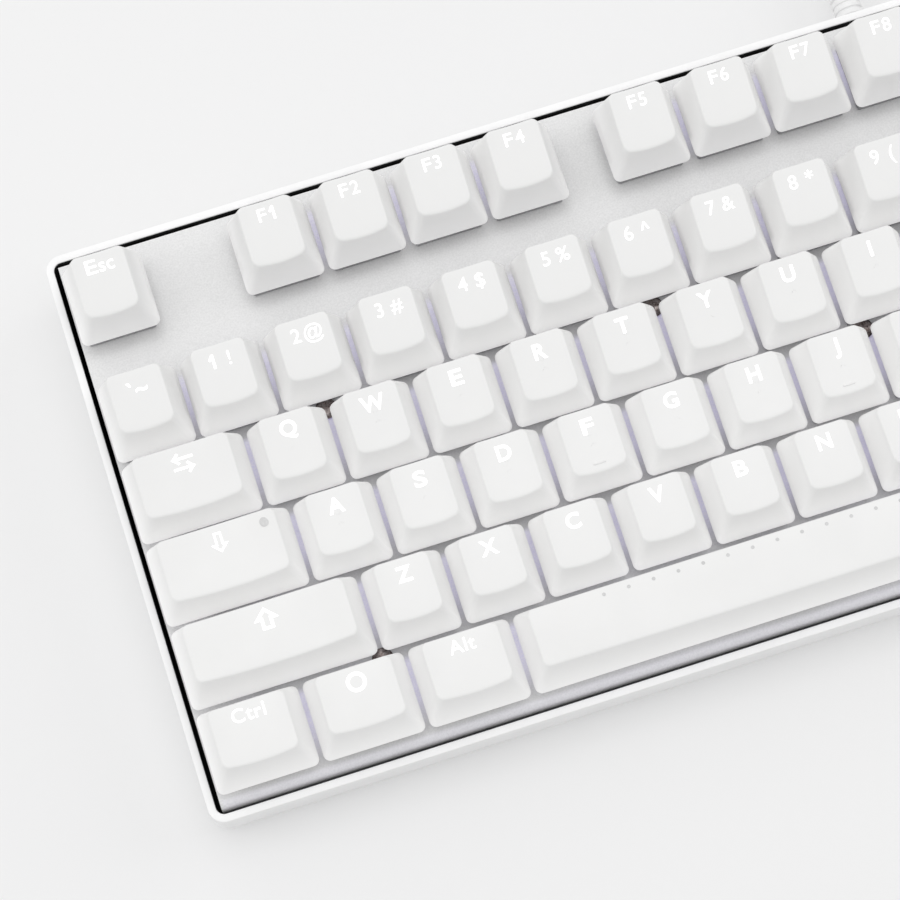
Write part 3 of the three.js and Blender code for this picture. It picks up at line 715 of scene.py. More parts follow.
def strain_relief():
    """A flange inside the tray, a collar outside it and a ribbed sleeve that tapers to the lead."""
    inner = REAR_Y - RIM["width"]
    outer = REAR_Y + 2.8
    profile = [
        (0.5, inner - 2.4), (4.9, inner - 2.4), (5.2, inner - 2.1), (5.2, inner - 1.1),
        (4.9, inner - 0.8), (3.3, inner - 0.8), (3.3, REAR_Y + 0.8), (4.6, REAR_Y + 0.8),
        (4.9, REAR_Y + 1.1), (4.9, REAR_Y + 2.5), (4.6, outer), (3.6, outer),
    ]
    ribs = 14
    groove = 0.45
    pitch = (relief_end - outer - 1) / ribs
    for k in range(ribs):
        start = outer + pitch * k
        radius = 3.55 - 0.65 * k / ribs
        profile += [
            (radius, start + 0.12), (radius, start + pitch - 0.72),
            (radius - 0.1, start + pitch - 0.6), (radius - groove, start + pitch - 0.5),
            (radius - groove, start + pitch - 0.15), (radius - 0.1, start + pitch),
        ]
    profile += [
        (2.85, relief_end - 0.8), (2.8, relief_end - 0.2), (2.6, relief_end), (0.5, relief_end),
    ]
    bm = bmesh.new()
    turned(bm, profile, (EXIT_X, 0, EXIT_Z), axis="y", sides=40)
    made = piece("strain_relief", bm, "tray", ["moulding"], sharp=30)
    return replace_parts(made, "lead_strain_relief")


def cross_loop(half_x, half_z, radius, centre, y):
    """A rounded rectangle standing across the y axis."""
    outline = ring(half_x, half_z, radius, (0, 0), (6, 1, 1))
    return [(centre[0] + x, y, centre[2] + z) for x, z in outline]


def plug_grip():
    low, high, centre, half = box_mm("plug_grip")
    front, back = low.y, high.y
    sections = [
        (front, 0.93, 0.86), (front + 0.35, 0.985, 0.97), (front + 1, 1, 1), (front + 4.2, 1, 1),
    ]
    for k in range(5):
        start = front + 4.6 + 1.7 * k
        sections += [
            (start, 0.93, 0.90), (start + 0.75, 0.93, 0.90), (start + 1.05, 0.99, 0.985),
            (start + 1.4, 0.99, 0.985),
        ]
    sections += [
        (back - 6.2, 0.95, 0.95), (back - 4.4, 0.8, 0.9), (back - 3, 0.6, 0.84),
        (back - 1.6, 0.47, 0.8), (back - 0.3, 0.42, 0.78), (back, 0.40, 0.74),
    ]
    bm = bmesh.new()
    loft(bm, [
        cross_loop(half[0] * wide, half[2] * tall, min(2.6, half[2] * tall * 0.8), centre, y)
        for y, wide, tall in sections
    ])
    made = piece("usb_plug_grip", bm, "tray", ["moulding"], sharp=40)
    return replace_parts(made, "plug_grip")


def plug_shell():
    """The folded metal sleeve with its two latch windows, and the tongue with four contacts in it."""
    low, high, centre, half = box_mm("plug_shell")
    wall = 0.32
    loops = [cross_loop(half[0], half[2], 0.6, centre, y) for y in (high.y, low.y + 0.15)]
    loops.append(cross_loop(half[0] - 0.1, half[2] - 0.1, 0.55, centre, low.y))
    for y in (low.y, low.y + 0.6, high.y - 1.2):
        loops.append(cross_loop(half[0] - wall, half[2] - wall, 0.35, centre, y))
    bm = bmesh.new()
    loft(bm, loops)
    sleeve = piece("usb_plug_sleeve", bm, "tray", ["shell"])
    cutter = bmesh.new()
    for side in (-1, 1):
        x = centre[0] + side * 2.6
        for bottom in (centre[2] + 1, centre[2] - 4):
            window = (low.y + 5.2, low.y + 7.6)
            block(cutter, around(x, 1.25), window, (bottom, bottom + 3), 0)
    combine(sleeve, cutter, "DIFFERENCE")
    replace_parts(sleeve, "plug_shell")

    bm = bmesh.new()
    floor_z = centre[2] - half[2] + wall
    block(bm, around(centre[0], 5.3), (low.y + 0.9, high.y - 1.5), (floor_z + 0.05, floor_z + 1.8))
    for k in range(4):
        x = centre[0] + (k - 1.5) * 2.35
        contact_z = (floor_z + 1.7, floor_z + 1.95)
        block(bm, around(x, 0.5), (low.y + 2.2, high.y - 3), contact_z, 0.05, material=1)
    tongue = piece("usb_plug_tongue", bm, "tray", ["tongue", "contact"])
    return [sleeve, tongue]


def lead_tie():
    """A strap round the coil's section, its end lapped over its start on top."""
    side, thick = TIE["width"] / 2, TIE["thickness"]
    low, high = TIE["low"], TIE["high"]
    room = LEAD_RADIUS + 0.25
    inner = COIL["radius"] - (COIL["turns"] - 1) * COIL["pitch"] - room
    outer = COIL["radius"] + room
    centre = ((inner + outer) / 2, (low + high) / 2)
    half = ((outer - inner) / 2, (high - low) / 2)
    near = ring(*half, 2.4, centre, (8, 1, 1))
    far = ring(half[0] + thick, half[1] + thick, 2.9, centre, (8, 1, 1))
    ends = []
    for y, inward in ((-side, TIE["edge"]), (side, -TIE["edge"])):
        start = [(x, y + inward, z) for x, z in near]
        rounded = [lerp(a, (x, y + inward, z), 0.9) for a, (x, z) in zip(start, far)]
        ends.append([start, rounded, [(x, y, z) for x, z in far]])
    loops = ends[0] + ends[1][::-1]
    bm = bmesh.new()
    loft(bm, loops + [loops[0]], capped=False)
    bmesh.ops.remove_doubles(bm, verts=bm.verts, dist=0.001)
    top = high + thick
    block(bm, (inner + 5, inner + 19), around(0, side - 0.3), (top - 0.05, top + 0.5), 0.15)
    turn = Matrix.Translation((coil_x, coil_y, 0)) @ Matrix.Rotation(math.radians(TIE_ANGLE), 4, "Z")
    made = piece("lead_strap", bm, "tray", ["strap"], place=ON_DESK @ turn)
    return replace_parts(made, "lead_tie")


# Keys -------------------------------------------------------------------------------------

CAP = {"skirt_radius": 1.5, "top_radius": 1.5, "fillet": 0.45, "dish": 0.62, "bow": 0.36, "crown": 0.3}
CAP_WALL = 1.2
CAP_ROOF = 1.6
# Shares of a cap's height: how far up its hollow reaches, and where the rounding of its foot ends
HOLLOW_SHARE = 0.94
FOOT_SHARE = 1 / 60
STEM = {"half_x": 3.1, "half_y": 2.4, "foot": 0.6, "roof": 0.6}
WIDE_STABILISER = 11.94
SPACE_STABILISER = 50
LABEL_RISE = 0.03
LABEL_DEPTH = 0.12
FONT_CAP_HEIGHT = 0.682


class Cap:
    """One keycap's size and top surface, in the plate's frame but measured from the key's centre."""

    def __init__(self, node, row, units, left, label):
        self.node = node
        self.units = units
        self.label = label
        self.x = (left + units / 2) * UNIT
        self.y = ROWS[row]["y"] + UNIT / 2
        self.heights = (ROWS[row]["front"], ROWS[row]["back"])
        front_in, back_in = ROWS[row]["front_in"], ROWS[row]["back_in"]
        self.half = ((units * UNIT - KEY_GAP) / 2, (UNIT - KEY_GAP) / 2)
        self.top_half = (self.half[0] - SIDE_INSET, self.half[1] - (front_in + back_in) / 2)
        self.top_y = (front_in - back_in) / 2
        self.steps = (5, max(8, round(8 * units)), 7)

    def stabilisers(self):
        """Where a wide key's stabiliser holds it, left and right of its middle."""
        if self.units > 4:
            return (-SPACE_STABILISER, SPACE_STABILISER)
        return (-WIDE_STABILISER, WIDE_STABILISER) if self.units >= 2 else ()

    def plane(self, y):
        """Height of the top above the skirt before it is dished."""
        low, high = self.heights
        return low + (high - low) * (y - self.top_y + self.top_half[1]) / (2 * self.top_half[1])

    def surface(self, x, y):
        """Height of the top above the skirt: a shallow trough, or a crown on the space bar."""
        if self.units > 4:
            across = (y - self.top_y) / self.top_half[1]
            return self.plane(y) - CAP["crown"] * across * across
        across = min(1.0, abs(x) / self.top_half[0])
        return self.plane(y) - CAP["dish"] * (1 - across * across)

    def outline(self, inset):
        """The top's outline moved in, with its front edge bowed out."""
        points = ring(
            self.top_half[0] - inset, self.top_half[1] - inset, max(0.25, CAP["top_radius"] - inset),
            (0, self.top_y), self.steps,
        )
        bowed = []
        for x, y in points:
            across = min(1.0, abs(x) / self.top_half[0])
            front = max(0.0, (self.top_y - y) / self.top_half[1])
            bowed.append((x, y - CAP["bow"] * (1 - across * across) * front))
        return bowed

    def skirt(self, inset=0.0):
        radius = CAP["skirt_radius"] - inset
        return ring(self.half[0] - inset, self.half[1] - inset, max(0.4, radius), (0, 0), self.steps)


def all_caps():
    for node, row, left, widths, labels in RUNS:
        for units, label in zip(widths, labels):
            yield Cap(node, row, units, left, label)
            left += units


def on_top(cap, points):
    return [(x, y, cap.surface(x, y)) for x, y in points]


def cap_shell(bm, cap):
    """The outer skin, rolled over a fillet into the dished top, and the hollow underneath."""
    skirt = cap.skirt()
    top = cap.outline(0)
    rise = [cap.surface(x, y) / cap.plane(y) for x, y in top]
    edge = on_top(cap, [lerp(a, b, t) for a, b, t in zip(skirt, top, rise)])
    foot = level(skirt, 0.0)
    fillet = CAP["fillet"]
    wall_end = [lerp(e, f, fillet / (Vector(e) - Vector(f)).length) for e, f in zip(edge, foot)]
    top_start = on_top(cap, cap.outline(fillet))
    inner_foot = cap.skirt(CAP_WALL)
    inner_outline = cap.outline(CAP_WALL * 0.8)
    inner_top = [lerp(a, b, HOLLOW_SHARE) for a, b in zip(inner_foot, inner_outline)]
    roof = [(x, y, cap.plane(y) * HOLLOW_SHARE - CAP_ROOF) for x, y in inner_top]
    loops = [
        roof, level(inner_foot, 0.15), level(cap.skirt(CAP_WALL - 0.12), 0.0), level(cap.skirt(0.15), 0.0),
    ]
    for share in (FOOT_SHARE, 0.3, 0.65):
        loops.append([lerp(a, b, share) for a, b in zip(foot, wall_end)])
    for k in range(6):
        t = k / 5
        curve = [lerp(lerp(w, e, t), lerp(e, s, t), t) for w, e, s in zip(wall_end, edge, top_start)]
        loops.append(curve)
    for share in (0.2, 0.4, 0.6, 0.78, 0.92):
        loops.append(on_top(cap, cap.outline(cap.top_half[1] * share)))
    rows = loft(bm, loops, capped=False)
    fill_strips(bm, rows[0], cap.steps)
    fill_strips(bm, rows[-1], cap.steps)


def stem_and_feet(bm, cap):
    """The slider under the cap, and the feet that a stabiliser's wire holds level."""
    half_x, half_y = STEM["half_x"], STEM["half_y"]
    roof = min(cap.surface(0, -half_y), cap.surface(0, half_y)) - STEM["roof"]
    block(bm, around(0, half_x), around(0, half_y), (STEM["foot"] - SKIRT, roof), 0.3)
    for side in cap.stabilisers():
        block(bm, around(side, 2), (-1.1, 2.3), (0.7 - SKIRT, roof), 0.3)


# The figure one, plain with a flag and no foot; lengths are shares of a capital's height
ONE_OUTLINE = [
    (0.04, 0.66), (0.30, 1.02), (0.48, 1.02), (0.48, -0.02), (0.29, -0.02), (0.29, 0.70), (0.15, 0.54),
]
NARROW = "BEFKLPRSTZ"


def glyph(character, cap_height, bold, least_width=0.86):
    """One character as a closed mesh one unit thick, its foot on y = 0."""
    if character == "1":
        bm = bmesh.new()
        outline = [(x * cap_height, y * cap_height) for x, y in ONE_OUTLINE]
        loft(bm, [level(outline, -0.5), level(outline, 0.5)])
        return bm
    data = bpy.data.curves.new("text", "FONT")
    data.body = character
    data.size = cap_height / FONT_CAP_HEIGHT
    data.offset = bold * data.size
    data.extrude = 0.5
    data.resolution_u = 5
    bm = from_curve(data, merge=0.002)
    if character in NARROW:
        stretch = max(1.0, least_width * cap_height / extent(bm, 0)[2])
        bmesh.ops.scale(bm, verts=bm.verts, vec=(stretch, 1, 1))
    return bm


def pair_solid(label, cap_height=3.0, pitch=3.9):
    """Two characters side by side at a fixed distance between their middles."""
    pair = bmesh.new()
    for side, character in zip((-0.5, 0.5), label):
        bm = glyph(character, cap_height, 0.002)
        low, high, _width = extent(bm, 0)
        across = side * pitch - (low + high) / 2
        bmesh.ops.translate(bm, verts=bm.verts, vec=(across, -cap_height / 2, 0))
        drop_into(pair, bm, 0)
    return pair


def extent(bm, axis):
    """Lowest and highest coordinate along an axis, and the distance between them."""
    values = [v.co[axis] for v in bm.verts]
    return min(values), max(values), max(values) - min(values)


def text_solid(text, cap_height, bold=0.02, gap=0.16, least_width=0.86):
    """A word set letter by letter with even gaps, centred, one unit thick."""
    word = bmesh.new()
    pen = 0.0
    for character in text:
        bm = glyph(character, cap_height, bold, least_width)
        low, _high, width = extent(bm, 0)
        bmesh.ops.translate(bm, verts=bm.verts, vec=(pen - low, 0, 0))
        pen += width + gap * cap_height
        drop_into(word, bm, 0)
    centre = [sum(extent(word, axis)[:2]) / 2 for axis in (0, 1)]
    bmesh.ops.translate(word, verts=word.verts, vec=(-centre[0], -centre[1], 0))
    return word


def ring_solid(radius, width, sides=40):
    bm = bmesh.new()
    loops = []
    for r, z in ((radius, -0.5), (radius, 0.5), (radius - width, 0.5), (radius - width, -0.5)):
        turn = [2 * math.pi * k / sides for k in range(sides)]
        loops.append([(r * math.cos(a), r * math.sin(a), z) for a in turn])
    loft(bm, loops + [loops[0]], capped=False)
    bmesh.ops.remove_doubles(bm, verts=bm.verts, dist=0.001)
    return bm


def bars_solid():
    bm = bmesh.new()
    for k in (-1, 0, 1):
        block(bm, around(0, 1.9), around(1.3 * k, 0.32), (-0.5, 0.5), 0)
    return bm


def dots_solid(count=15, pitch=5.6, radius=0.42):
    bm = bmesh.new()
    for k in range(count):
        turned(bm, [(radius, -0.5), (radius, 0.5)], ((k - (count - 1) / 2) * pitch, 0, 0), sides=14)
    return bm


def label_solid(label):
    """The label's mesh, and how far its centre is from the top's back edge, as a share of the top."""
    if label == "ring":
        return ring_solid(2.2, 0.75), 0.27
    if label == "bars":
        return bars_solid(), 0.27
    if label == "dots":
        return dots_solid(), 0.13
    if label == "`~":
        return text_solid(label, 3.2, 0.02, 0.22), 0.3
    if label in "⇆↵":
        return text_solid(label, 3.4, 0.018), 0.29
    if label in "⇩⇧":
        return text_solid(label, 4.0, 0.02), 0.29
    if label in "←↑→↓":
        return text_solid(label, 3.4, 0.03), 0.29
    if len(label) == 1:
        return text_solid(label, 3.3, 0.022), 0.28
    if label[0] == "F" and label[1].isdigit():
        return text_solid(label, 2.8, 0.002, 0.24, 0.68), 0.22
    if len(label) == 2:
        return pair_solid(label), 0.28
    return text_solid(label, 2.95, 0.006, 0.14), 0.215


def label_on(bm, cap):
    """Lays the label on the cap's top as a thin closed inlay; the space bar's dots are unlit."""
    solid, share = label_solid(cap.label)
    centre_y = cap.top_y + cap.top_half[1] * (1 - 2 * share)
    for v in solid.verts:
        v.co.y += centre_y
        offset = LABEL_RISE if v.co.z > 0 else -LABEL_DEPTH
        v.co.z = cap.surface(v.co.x, v.co.y) + offset
    drop_into(bm, solid, 2 if cap.label == "dots" else 1)


def home_bar(bm, cap):
    """The raised bar that a finger finds on F and J."""
    y = cap.top_y - cap.top_half[1] + 1.3
    z = cap.surface(0, y)
    block(bm, around(0, 1.4), around(y, 0.25), (z - 0.3, z + 0.28), 0.18)


def lock_window(bm, cap):
    """A small lens near the back right corner of the top, almost flush with it."""
    x = cap.top_half[0] - 2.6
    y = cap.top_y + cap.top_half[1] - 2.6
    z = cap.surface(x, y)
    turned(bm, [(1.1, z - 0.5), (1.1, z + 0.02), (0.9, z + 0.07), (0.4, z + 0.09)], (x, y, 0), material=2)


def make_caps():
    seen = {}
    for cap in all_caps():
        seen[cap.node] = seen.get(cap.node, 0) + 1
        bm = bmesh.new()
        cap_shell(bm, cap)
        stem_and_feet(bm, cap)
        label_on(bm, cap)
        if cap.label in ("F", "J"):
            home_bar(bm, cap)
        if cap.node == "key_caps_lock":
            lock_window(bm, cap)
        name = f"{cap.node}_cap_{seen[cap.node]}"
        seat = Matrix.Translation(ON_PLATE @ Vector((cap.x, cap.y, SKIRT))) @ TURN
        finishes = ["keycap", "legend", "window"]
        made = piece(name, bm, cap.node, finishes, sharp=50, seat=seat)
        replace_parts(made, cap.node)


# Switches, plate, tray --------------------------------------------------------------------

# Half width, half depth, corner radius and height: up the outside, then down the slider's opening
SWITCH_SECTIONS = [
    (6.8, 6.8, 0.4, -5.1), (6.95, 6.95, 0.4, -0.05), (7.75, 7.75, 0.6, 0.02), (7.8, 7.8, 0.6, 0.15),
    (7.8, 7.8, 0.6, 0.75), (7.65, 7.65, 0.6, 0.9), (7.0, 7.0, 0.7, 0.95), (6.8, 6.7, 0.8, 1.6),
    (4.9, 4.1, 0.9, 5.9), (4.6, 3.8, 0.8, 6.2), (3.5, 2.8, 0.4, 6.2), (3.4, 2.7, 0.4, 6.1),
    (3.4, 2.7, 0.4, -3.9),
]
LAMP_PROFILE = [(1.3, 1.0), (1.3, 2.2), (1.0, 2.8), (0.4, 3.0)]
LAMP_BEHIND = 5.9


def make_switches():
    """A housing and a lamp for every key, stabiliser posts, and a bar that joins each row."""
    bm = bmesh.new()
    for cap in all_caps():
        x, y = cap.x, cap.y
        loft(bm, [level(ring(a, b, r, (x, y), (3, 1, 1)), z) for a, b, r, z in SWITCH_SECTIONS])
        turned(bm, LAMP_PROFILE, (x, y + LAMP_BEHIND, 0), sides=16, material=1)
        for side in cap.stabilisers():
            block(bm, around(x + side, 2.5), (y + 3.2, y + 6.5), (-5.1, 4.5), 0.35)
    for row in ROWS.values():
        centre = row["y"] + UNIT / 2
        block(bm, (UNIT / 2, FIELD_WIDTH - UNIT / 2), (centre + 5, centre + 6.6), (-4.6, -3.8), 0.1)
    made = piece("switches", bm, "tray", ["switch", "lamp"], ON_PLATE)
    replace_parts(made, "switch_housings")


def plate_outlines():
    """The flat blank's edge, then its holes, as closed loops."""
    blank_front = BEND_START - BEND_LENGTH - (PLATE["lip"] - PLATE["bend"])
    x0, x1 = -PLATE["side"], FIELD_WIDTH + PLATE["side"]
    loops = [[(x0, blank_front), (x1, blank_front), (x1, PLATE["back"]), (x0, PLATE["back"])]]
    for cap in all_caps():
        loops.append(ring(7.1, 7.1, 0.4, (cap.x, cap.y), (2, 1, 1)))
        for side in cap.stabilisers():
            sign = 1 if side > 0 else -1
            near, far = abs(side) - 3.4, abs(side) + 4.2
            centre = (cap.x + sign * (near + far) / 2, cap.y + 0.6)
            loops.append(ring((far - near) / 2, 6.2, 0.5, centre, (2, 1, 1)))
    loops += [ring(1.4, 1.4, 1.4, (x * UNIT, y * UNIT), (4, 1, 1)) for x, y in SCREWS]
    return loops


def flat_sheet(loops, thickness):
    """A flat sheet: the first loop is its edge and the others are holes."""
    data = bpy.data.curves.new("blank", "CURVE")
    data.dimensions = "2D"
    data.fill_mode = "BOTH"
    data.extrude = thickness / 2
    for loop in loops:
        spline = data.splines.new("POLY")
        spline.points.add(len(loop) - 1)
        for point, (x, y) in zip(spline.points, loop):
            point.co = (x, y, 0, 1)
        spline.use_cyclic_u = True
    return from_curve(data, merge=0.001)


def bend_front(bm, steps=10):
    """Folds the sheet down along its front edge; the rest is lowered so its top is at z = 0."""
    for k in range(steps + 1):
        geometry = bm.verts[:] + bm.edges[:] + bm.faces[:]
        place = (0, BEND_START - BEND_LENGTH * k / steps, 0)
        bmesh.ops.bisect_plane(bm, geom=geometry, dist=1e-5, plane_co=place, plane_no=(0, 1, 0))
    half = PLATE["thickness"] / 2
    for v in bm.verts:
        radius = PLATE["bend"] - half + v.co.z
        past = BEND_START - v.co.y
        if past <= 0:
            v.co.z -= half
            continue
        angle = min(past, BEND_LENGTH) / BEND_LENGTH * math.pi / 2
        straight = max(0.0, past - BEND_LENGTH)
        v.co.y = BEND_START - radius * math.sin(angle)
        v.co.z = radius * math.cos(angle) - PLATE["bend"] - straight
def make_plate():
    bm = flat_sheet(plate_outlines(), PLATE["thickness"])
    bend_front(bm)
    made = piece("top_plate", bm, "tray", ["plate"], ON_PLATE, sharp=30)
    bevel = made.modifiers.new("edge", "BEVEL")
    bevel.width = 0.12 * MM
    bevel.segments = 2
    bevel.limit_method = "ANGLE"
    bevel.angle_limit = math.radians(60)
    bevel.use_clamp_overlap = True
    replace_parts(made, "switch_plate")


def tray_loop(inset, z_of):
    """The tray's outline, moved in by inset; z_of gives each point's height from its y."""
    wall = RIM["width"]
    y0 = -RIM["front"] - wall + inset
    y1 = FIELD_DEPTH + RIM["back"] + wall - inset
    half = (FIELD_WIDTH / 2 + RIM["side"] + wall - inset, (y1 - y0) / 2)
    centre = (FIELD_WIDTH / 2, (y0 + y1) / 2)
    loop = []
    for x, y in ring(*half, RIM["radius"] + wall - inset, centre, (10, 1, 1)):
        z = z_of(y)
        loop.append((x, y + tray_slope(y, inset) * min(z, 0), z))
    return loop


def tray_slope(y, inset):
    """How far towards the front a wall moves per millimetre down; the rear one is then upright."""
    if y > FIELD_DEPTH / 2:
        return math.tan(TILT)
    return FRONT_SLOPE if inset < RIM["width"] else 0.0


def cut_height(desk_z, inset):
    """Height in the plate's frame at which a wall meets a level plane over the desk."""
    origin_z = ORIGIN.z / MM

    def z_of(y):
        fall = math.cos(TILT) + tray_slope(y, inset) * math.sin(TILT)
        return (desk_z - origin_z - y * math.sin(TILT)) / fall
    return z_of


def fixed(z):
    return lambda _y: z


def make_tray():
    """A rim and walls round a level floor, with feet recesses and the lead's hole cut out."""
    wall = RIM["width"]
    foot = [(1.2, 0), (0.35, 0.35), (0.0, 1.2)]
    rim = [
        (0.0, -1.2), (0.0, -0.35), (0.1, -0.1), (0.35, 0.0), (wall - 0.3, 0.0), (wall - 0.09, -0.09),
        (wall, -0.3), (wall, -1.0),
    ]
    loops = [tray_loop(inset, cut_height(FOOT_GAP + rise, 0)) for inset, rise in foot]
    loops += [tray_loop(inset, fixed(z)) for inset, z in rim]
    loops.append(tray_loop(wall, cut_height(FLOOR_TOP, wall)))
    bm = bmesh.new()
    loft(bm, loops)
    bmesh.ops.transform(bm, matrix=PLATE_TO_DESK, verts=bm.verts)
    tray = piece("tray_case", bm, "tray", ["tray", "inside"], sharp=40)
    combine(tray, tray_additions(), "UNION")
    combine(tray, tray_cuts(), "DIFFERENCE")
    darken_inside(tray)
    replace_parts(tray, "bottom_case")


RUBBER_FEET = [f"rubber_foot_{end}_{side}" for end in ("front", "rear") for side in ("left", "right")]
FLIP_FEET = {"flip_foot_left": -118, "flip_foot_right": 118}
FLIP = {"axis": (44, 4.3), "half": 22, "reach": 15, "radius": 2, "pin": 1.7, "pin_end": 25}
RECESS = {"room": 0.4, "y": (41.3, 59.8), "top": 6.9, "pin_room": 0.35}
RECESS_BLOCK = {"half": 28, "y": (39, 62.5), "top": 9.5}
SCREW_POST = [(2.4, -14), (2.4, -1.9), (2.2, -1.8)]


def tray_additions():
    """Blocks over the fold-out feet and the posts that carry the plate."""
    bm = bmesh.new()
    half = RECESS_BLOCK["half"]
    for x in FLIP_FEET.values():
        block(bm, around(x, half), RECESS_BLOCK["y"], (FOOT_GAP + 0.6, RECESS_BLOCK["top"]), 0)
    for x, y in SCREWS:
        post = bmesh.new()
        turned(post, SCREW_POST, (x * UNIT, y * UNIT, 0), sides=24)
        bmesh.ops.transform(post, matrix=PLATE_TO_DESK, verts=post.verts)
        for v in post.verts:
            v.co.z = max(v.co.z, FLOOR_TOP - 1)
        drop_into(bm, post, 1)
    return bm


def tray_cuts():
    """Recesses for the fold-out feet with holes for their pins, seats for the pads, the lead's hole."""
    bm = bmesh.new()
    half = FLIP["half"] + RECESS["room"]
    pin_radius = FLIP["pin"] + RECESS["pin_room"]
    pin_end = FLIP["pin_end"] + RECESS["room"]
    for x in FLIP_FEET.values():
        block(bm, around(x, half), RECESS["y"], (0, RECESS["top"]), 0)
        turned(bm, [(pin_radius, -pin_end), (pin_radius, pin_end)], (x, *FLIP["axis"]), "x", sides=28)
    for name in RUBBER_FEET:
        _low, _high, centre, size = box_mm(name)
        outline = ring(size[0] + 0.3, size[1] + 0.3, 3.3, centre, (6, 1, 1))
        loft(bm, [level(outline, 0), level(outline, 2.3)])
    turned(bm, [(3.6, -6), (3.6, 6)], (EXIT_X, REAR_Y, EXIT_Z), axis="y", sides=32)
    return bm


def darken_inside(tray):
    """The floor and the walls' inner faces, just below the rim, are bare dark moulding."""
    to_plate = ON_PLATE.inverted()
    middle = Vector((0, (cad_box[0].y + REAR_Y * MM) / 2, 0))
    for face in tray.data.polygons:
        below_rim = (to_plate @ face.center).z < -0.5
        above_floor = face.center.z > (FLOOR_TOP - 0.1) * MM
        inward = (middle - face.center).xy.dot(face.normal.xy) > 0.02 * MM
        looks_up = face.normal.z > 0.5
        if below_rim and above_floor and (inward or looks_up):
            face.material_index = 1


# How far each loop of a rubber foot is moved in, and its height
PAD_SECTIONS = [
    (0, 2.0), (0, 0.45), (0.1, 0.15), (0.4, 0.0), (1.2, 0.0), (1.3, 0.25), (1.9, 0.25), (2.0, 0.0),
    (3.2, 0.0),
]


def make_rubber_feet():
    """Pads with a soft lower edge and a shallow groove pressed into the sole."""
    for name in RUBBER_FEET:
        _low, _high, centre, half = box_mm(name)
        bm = bmesh.new()
        loft(bm, [
            level(ring(half[0] - inset, half[1] - inset, 3 - min(2.4, inset), centre, (8, 1, 1)), z)
            for inset, z in PAD_SECTIONS
        ])
        made = piece(name + "_pad", bm, "tray", ["foot"], sharp=40)
        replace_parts(made, name)


def flap_outline():
    """A fold-out foot from the side: round about its axis, square at its tip."""
    axis_y, axis_z = FLIP["axis"]
    reach, radius = FLIP["reach"], FLIP["radius"]
    outline = []
    for k in range(13):
        angle = math.radians(90 + 180 * k / 12)
        outline.append((axis_y + radius * math.cos(angle), axis_z + radius * math.sin(angle)))
    tip = [(reach - 0.5, -radius), (reach, 0.5 - radius), (reach, radius - 0.5), (reach - 0.5, radius)]
    return outline + [(axis_y + y, axis_z + z) for y, z in tip]


def make_flip_feet():
    """A flap with grip ribs, turning on two pins."""
    half, pin, pin_end = FLIP["half"], FLIP["pin"], FLIP["pin_end"]
    middle_y = FLIP["axis"][0] + FLIP["reach"] / 2
    middle_z = FLIP["axis"][1]
    for name, x in FLIP_FEET.items():
        bm = bmesh.new()
        loops = []
        for side, wide, tall in (
            (-half, 0.985, 0.9), (0.4 - half, 1, 1), (half - 0.4, 1, 1), (half, 0.985, 0.9),
        ):
            loops.append([
                (x + side, middle_y + (y - middle_y) * wide, middle_z + (z - middle_z) * tall)
                for y, z in flap_outline()
            ])
        loft(bm, loops)
        profile = [(pin - 0.3, -pin_end), (pin, 0.3 - pin_end), (pin, pin_end - 0.3), (pin - 0.3, pin_end)]
        turned(bm, profile, (x, *FLIP["axis"]), axis="x", sides=28)
        for k in range(5):
            y = FLIP["axis"][0] + 5 + 1.6 * k
            block(bm, around(x, 9), (y, y + 0.7), (2.05, 2.5), 0.15)
        foot = piece(name + "_flap", bm, name, ["tray"])
        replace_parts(foot, name)


SCREW_PROFILE = [
    (0.2, -8), (0.8, -7.6), (1.0, -7), (1.0, 0.28), (2.3, 0.3), (2.4, 0.4), (2.35, 0.7), (2.0, 1.0),
    (1.2, 1.12), (0.3, 1.16),
]
CROSS = {"long": 1.15, "wide": 0.24, "z": (0.62, 2)}


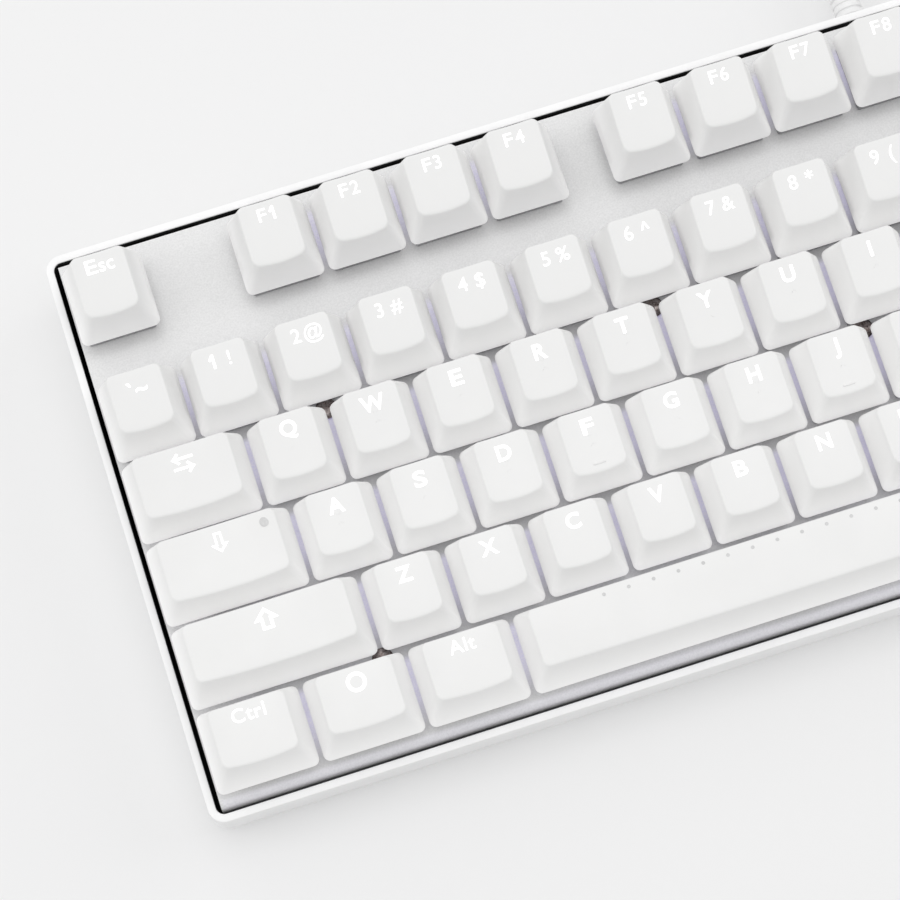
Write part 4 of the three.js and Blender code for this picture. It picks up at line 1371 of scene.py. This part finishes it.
def make_screws():
    """Pan heads with a cross recess, over shanks that run down into the posts."""
    for index, (across, up) in enumerate(SCREWS, 1):
        x, y = across * UNIT, up * UNIT
        bm = bmesh.new()
        turned(bm, SCREW_PROFILE, (x, y, 0), sides=28)
        made = piece(f"plate_screw_{index}_cross", bm, "tray", ["screw"], ON_PLATE)
        cutter = bmesh.new()
        for a, b in ((CROSS["long"], CROSS["wide"]), (CROSS["wide"], CROSS["long"])):
            block(cutter, around(x, a), around(y, b), CROSS["z"], 0)
        bmesh.ops.transform(cutter, matrix=PLATE_TO_DESK, verts=cutter.verts)
        combine(made, cutter, "DIFFERENCE")
        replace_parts(made, f"plate_screw_{index}")


def wire_route(offset):
    """The stabiliser wire's bends, from one tip round the bar to the other."""
    arm = offset + 3
    half = [
        (offset - 1.8, 0.6, -0.35), (arm - 1, 0.6, -0.35), (arm - 0.25, 0.35, -0.45), (arm, -0.4, -0.77),
        (arm, -7.8, -3.85), (arm - 0.3, -8.7, -4.25), (arm - 1.2, -9, -4.35), (offset - 3, -9, -4.35),
    ]
    return half + [(-x, y, z) for x, y, z in reversed(half)]


def make_wires():
    caps = {cap.node: cap for cap in all_caps()}
    for key in ("backspace", "enter", "left_shift", "right_shift", "space"):
        cap = caps["key_" + key]
        wire = "wire_" + key
        data = round_rod(wire + "_rod", 0.75, 3, FINISH["wire"])
        route = wire_route(cap.stabilisers()[1])
        spline = data.splines.new("POLY")
        spline.points.add(len(route) - 1)
        for point, (x, y, z) in zip(spline.points, route):
            point.co = (*(ON_PLATE @ Vector((cap.x + x, cap.y + y, z))), 1)
        spline.use_smooth = True
        rod = add_object(wire + "_rod", data)
        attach(rod, wire)
        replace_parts(rod, wire)


def finish_board():
    board = frame["nodes"]["circuit_board"]
    board.data.materials.clear()
    board.data.materials.append(FINISH["board"])


def make_floor():
    bm = bmesh.new()
    bmesh.ops.create_grid(bm, x_segments=2, y_segments=2, size=3)
    mesh = bpy.data.meshes.new("floor")
    bm.to_mesh(mesh)
    bm.free()
    surface = Finish("floor_pale", grey(0.62), 0.8)
    surface.tint(surface.noise(3, 2), (0.615, 0.615, 0.618), grey(0.625))
    surface.glow(WHITE, 0.23)
    mesh.materials.append(surface.material)
    add_object("floor", mesh)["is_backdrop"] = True


make_camera()
light_the_scene()
make_lead([strain_relief(), plug_grip(), *plug_shell(), lead_tie()])
make_caps()
make_switches()
make_plate()
make_tray()
make_rubber_feet()
make_flip_feet()
make_screws()
make_wires()
finish_board()
make_floor()

boxes = {"cad": cad_box, "visual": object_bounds()}
{name: [list(low), list(high)] for name, (low, high) in boxes.items()}
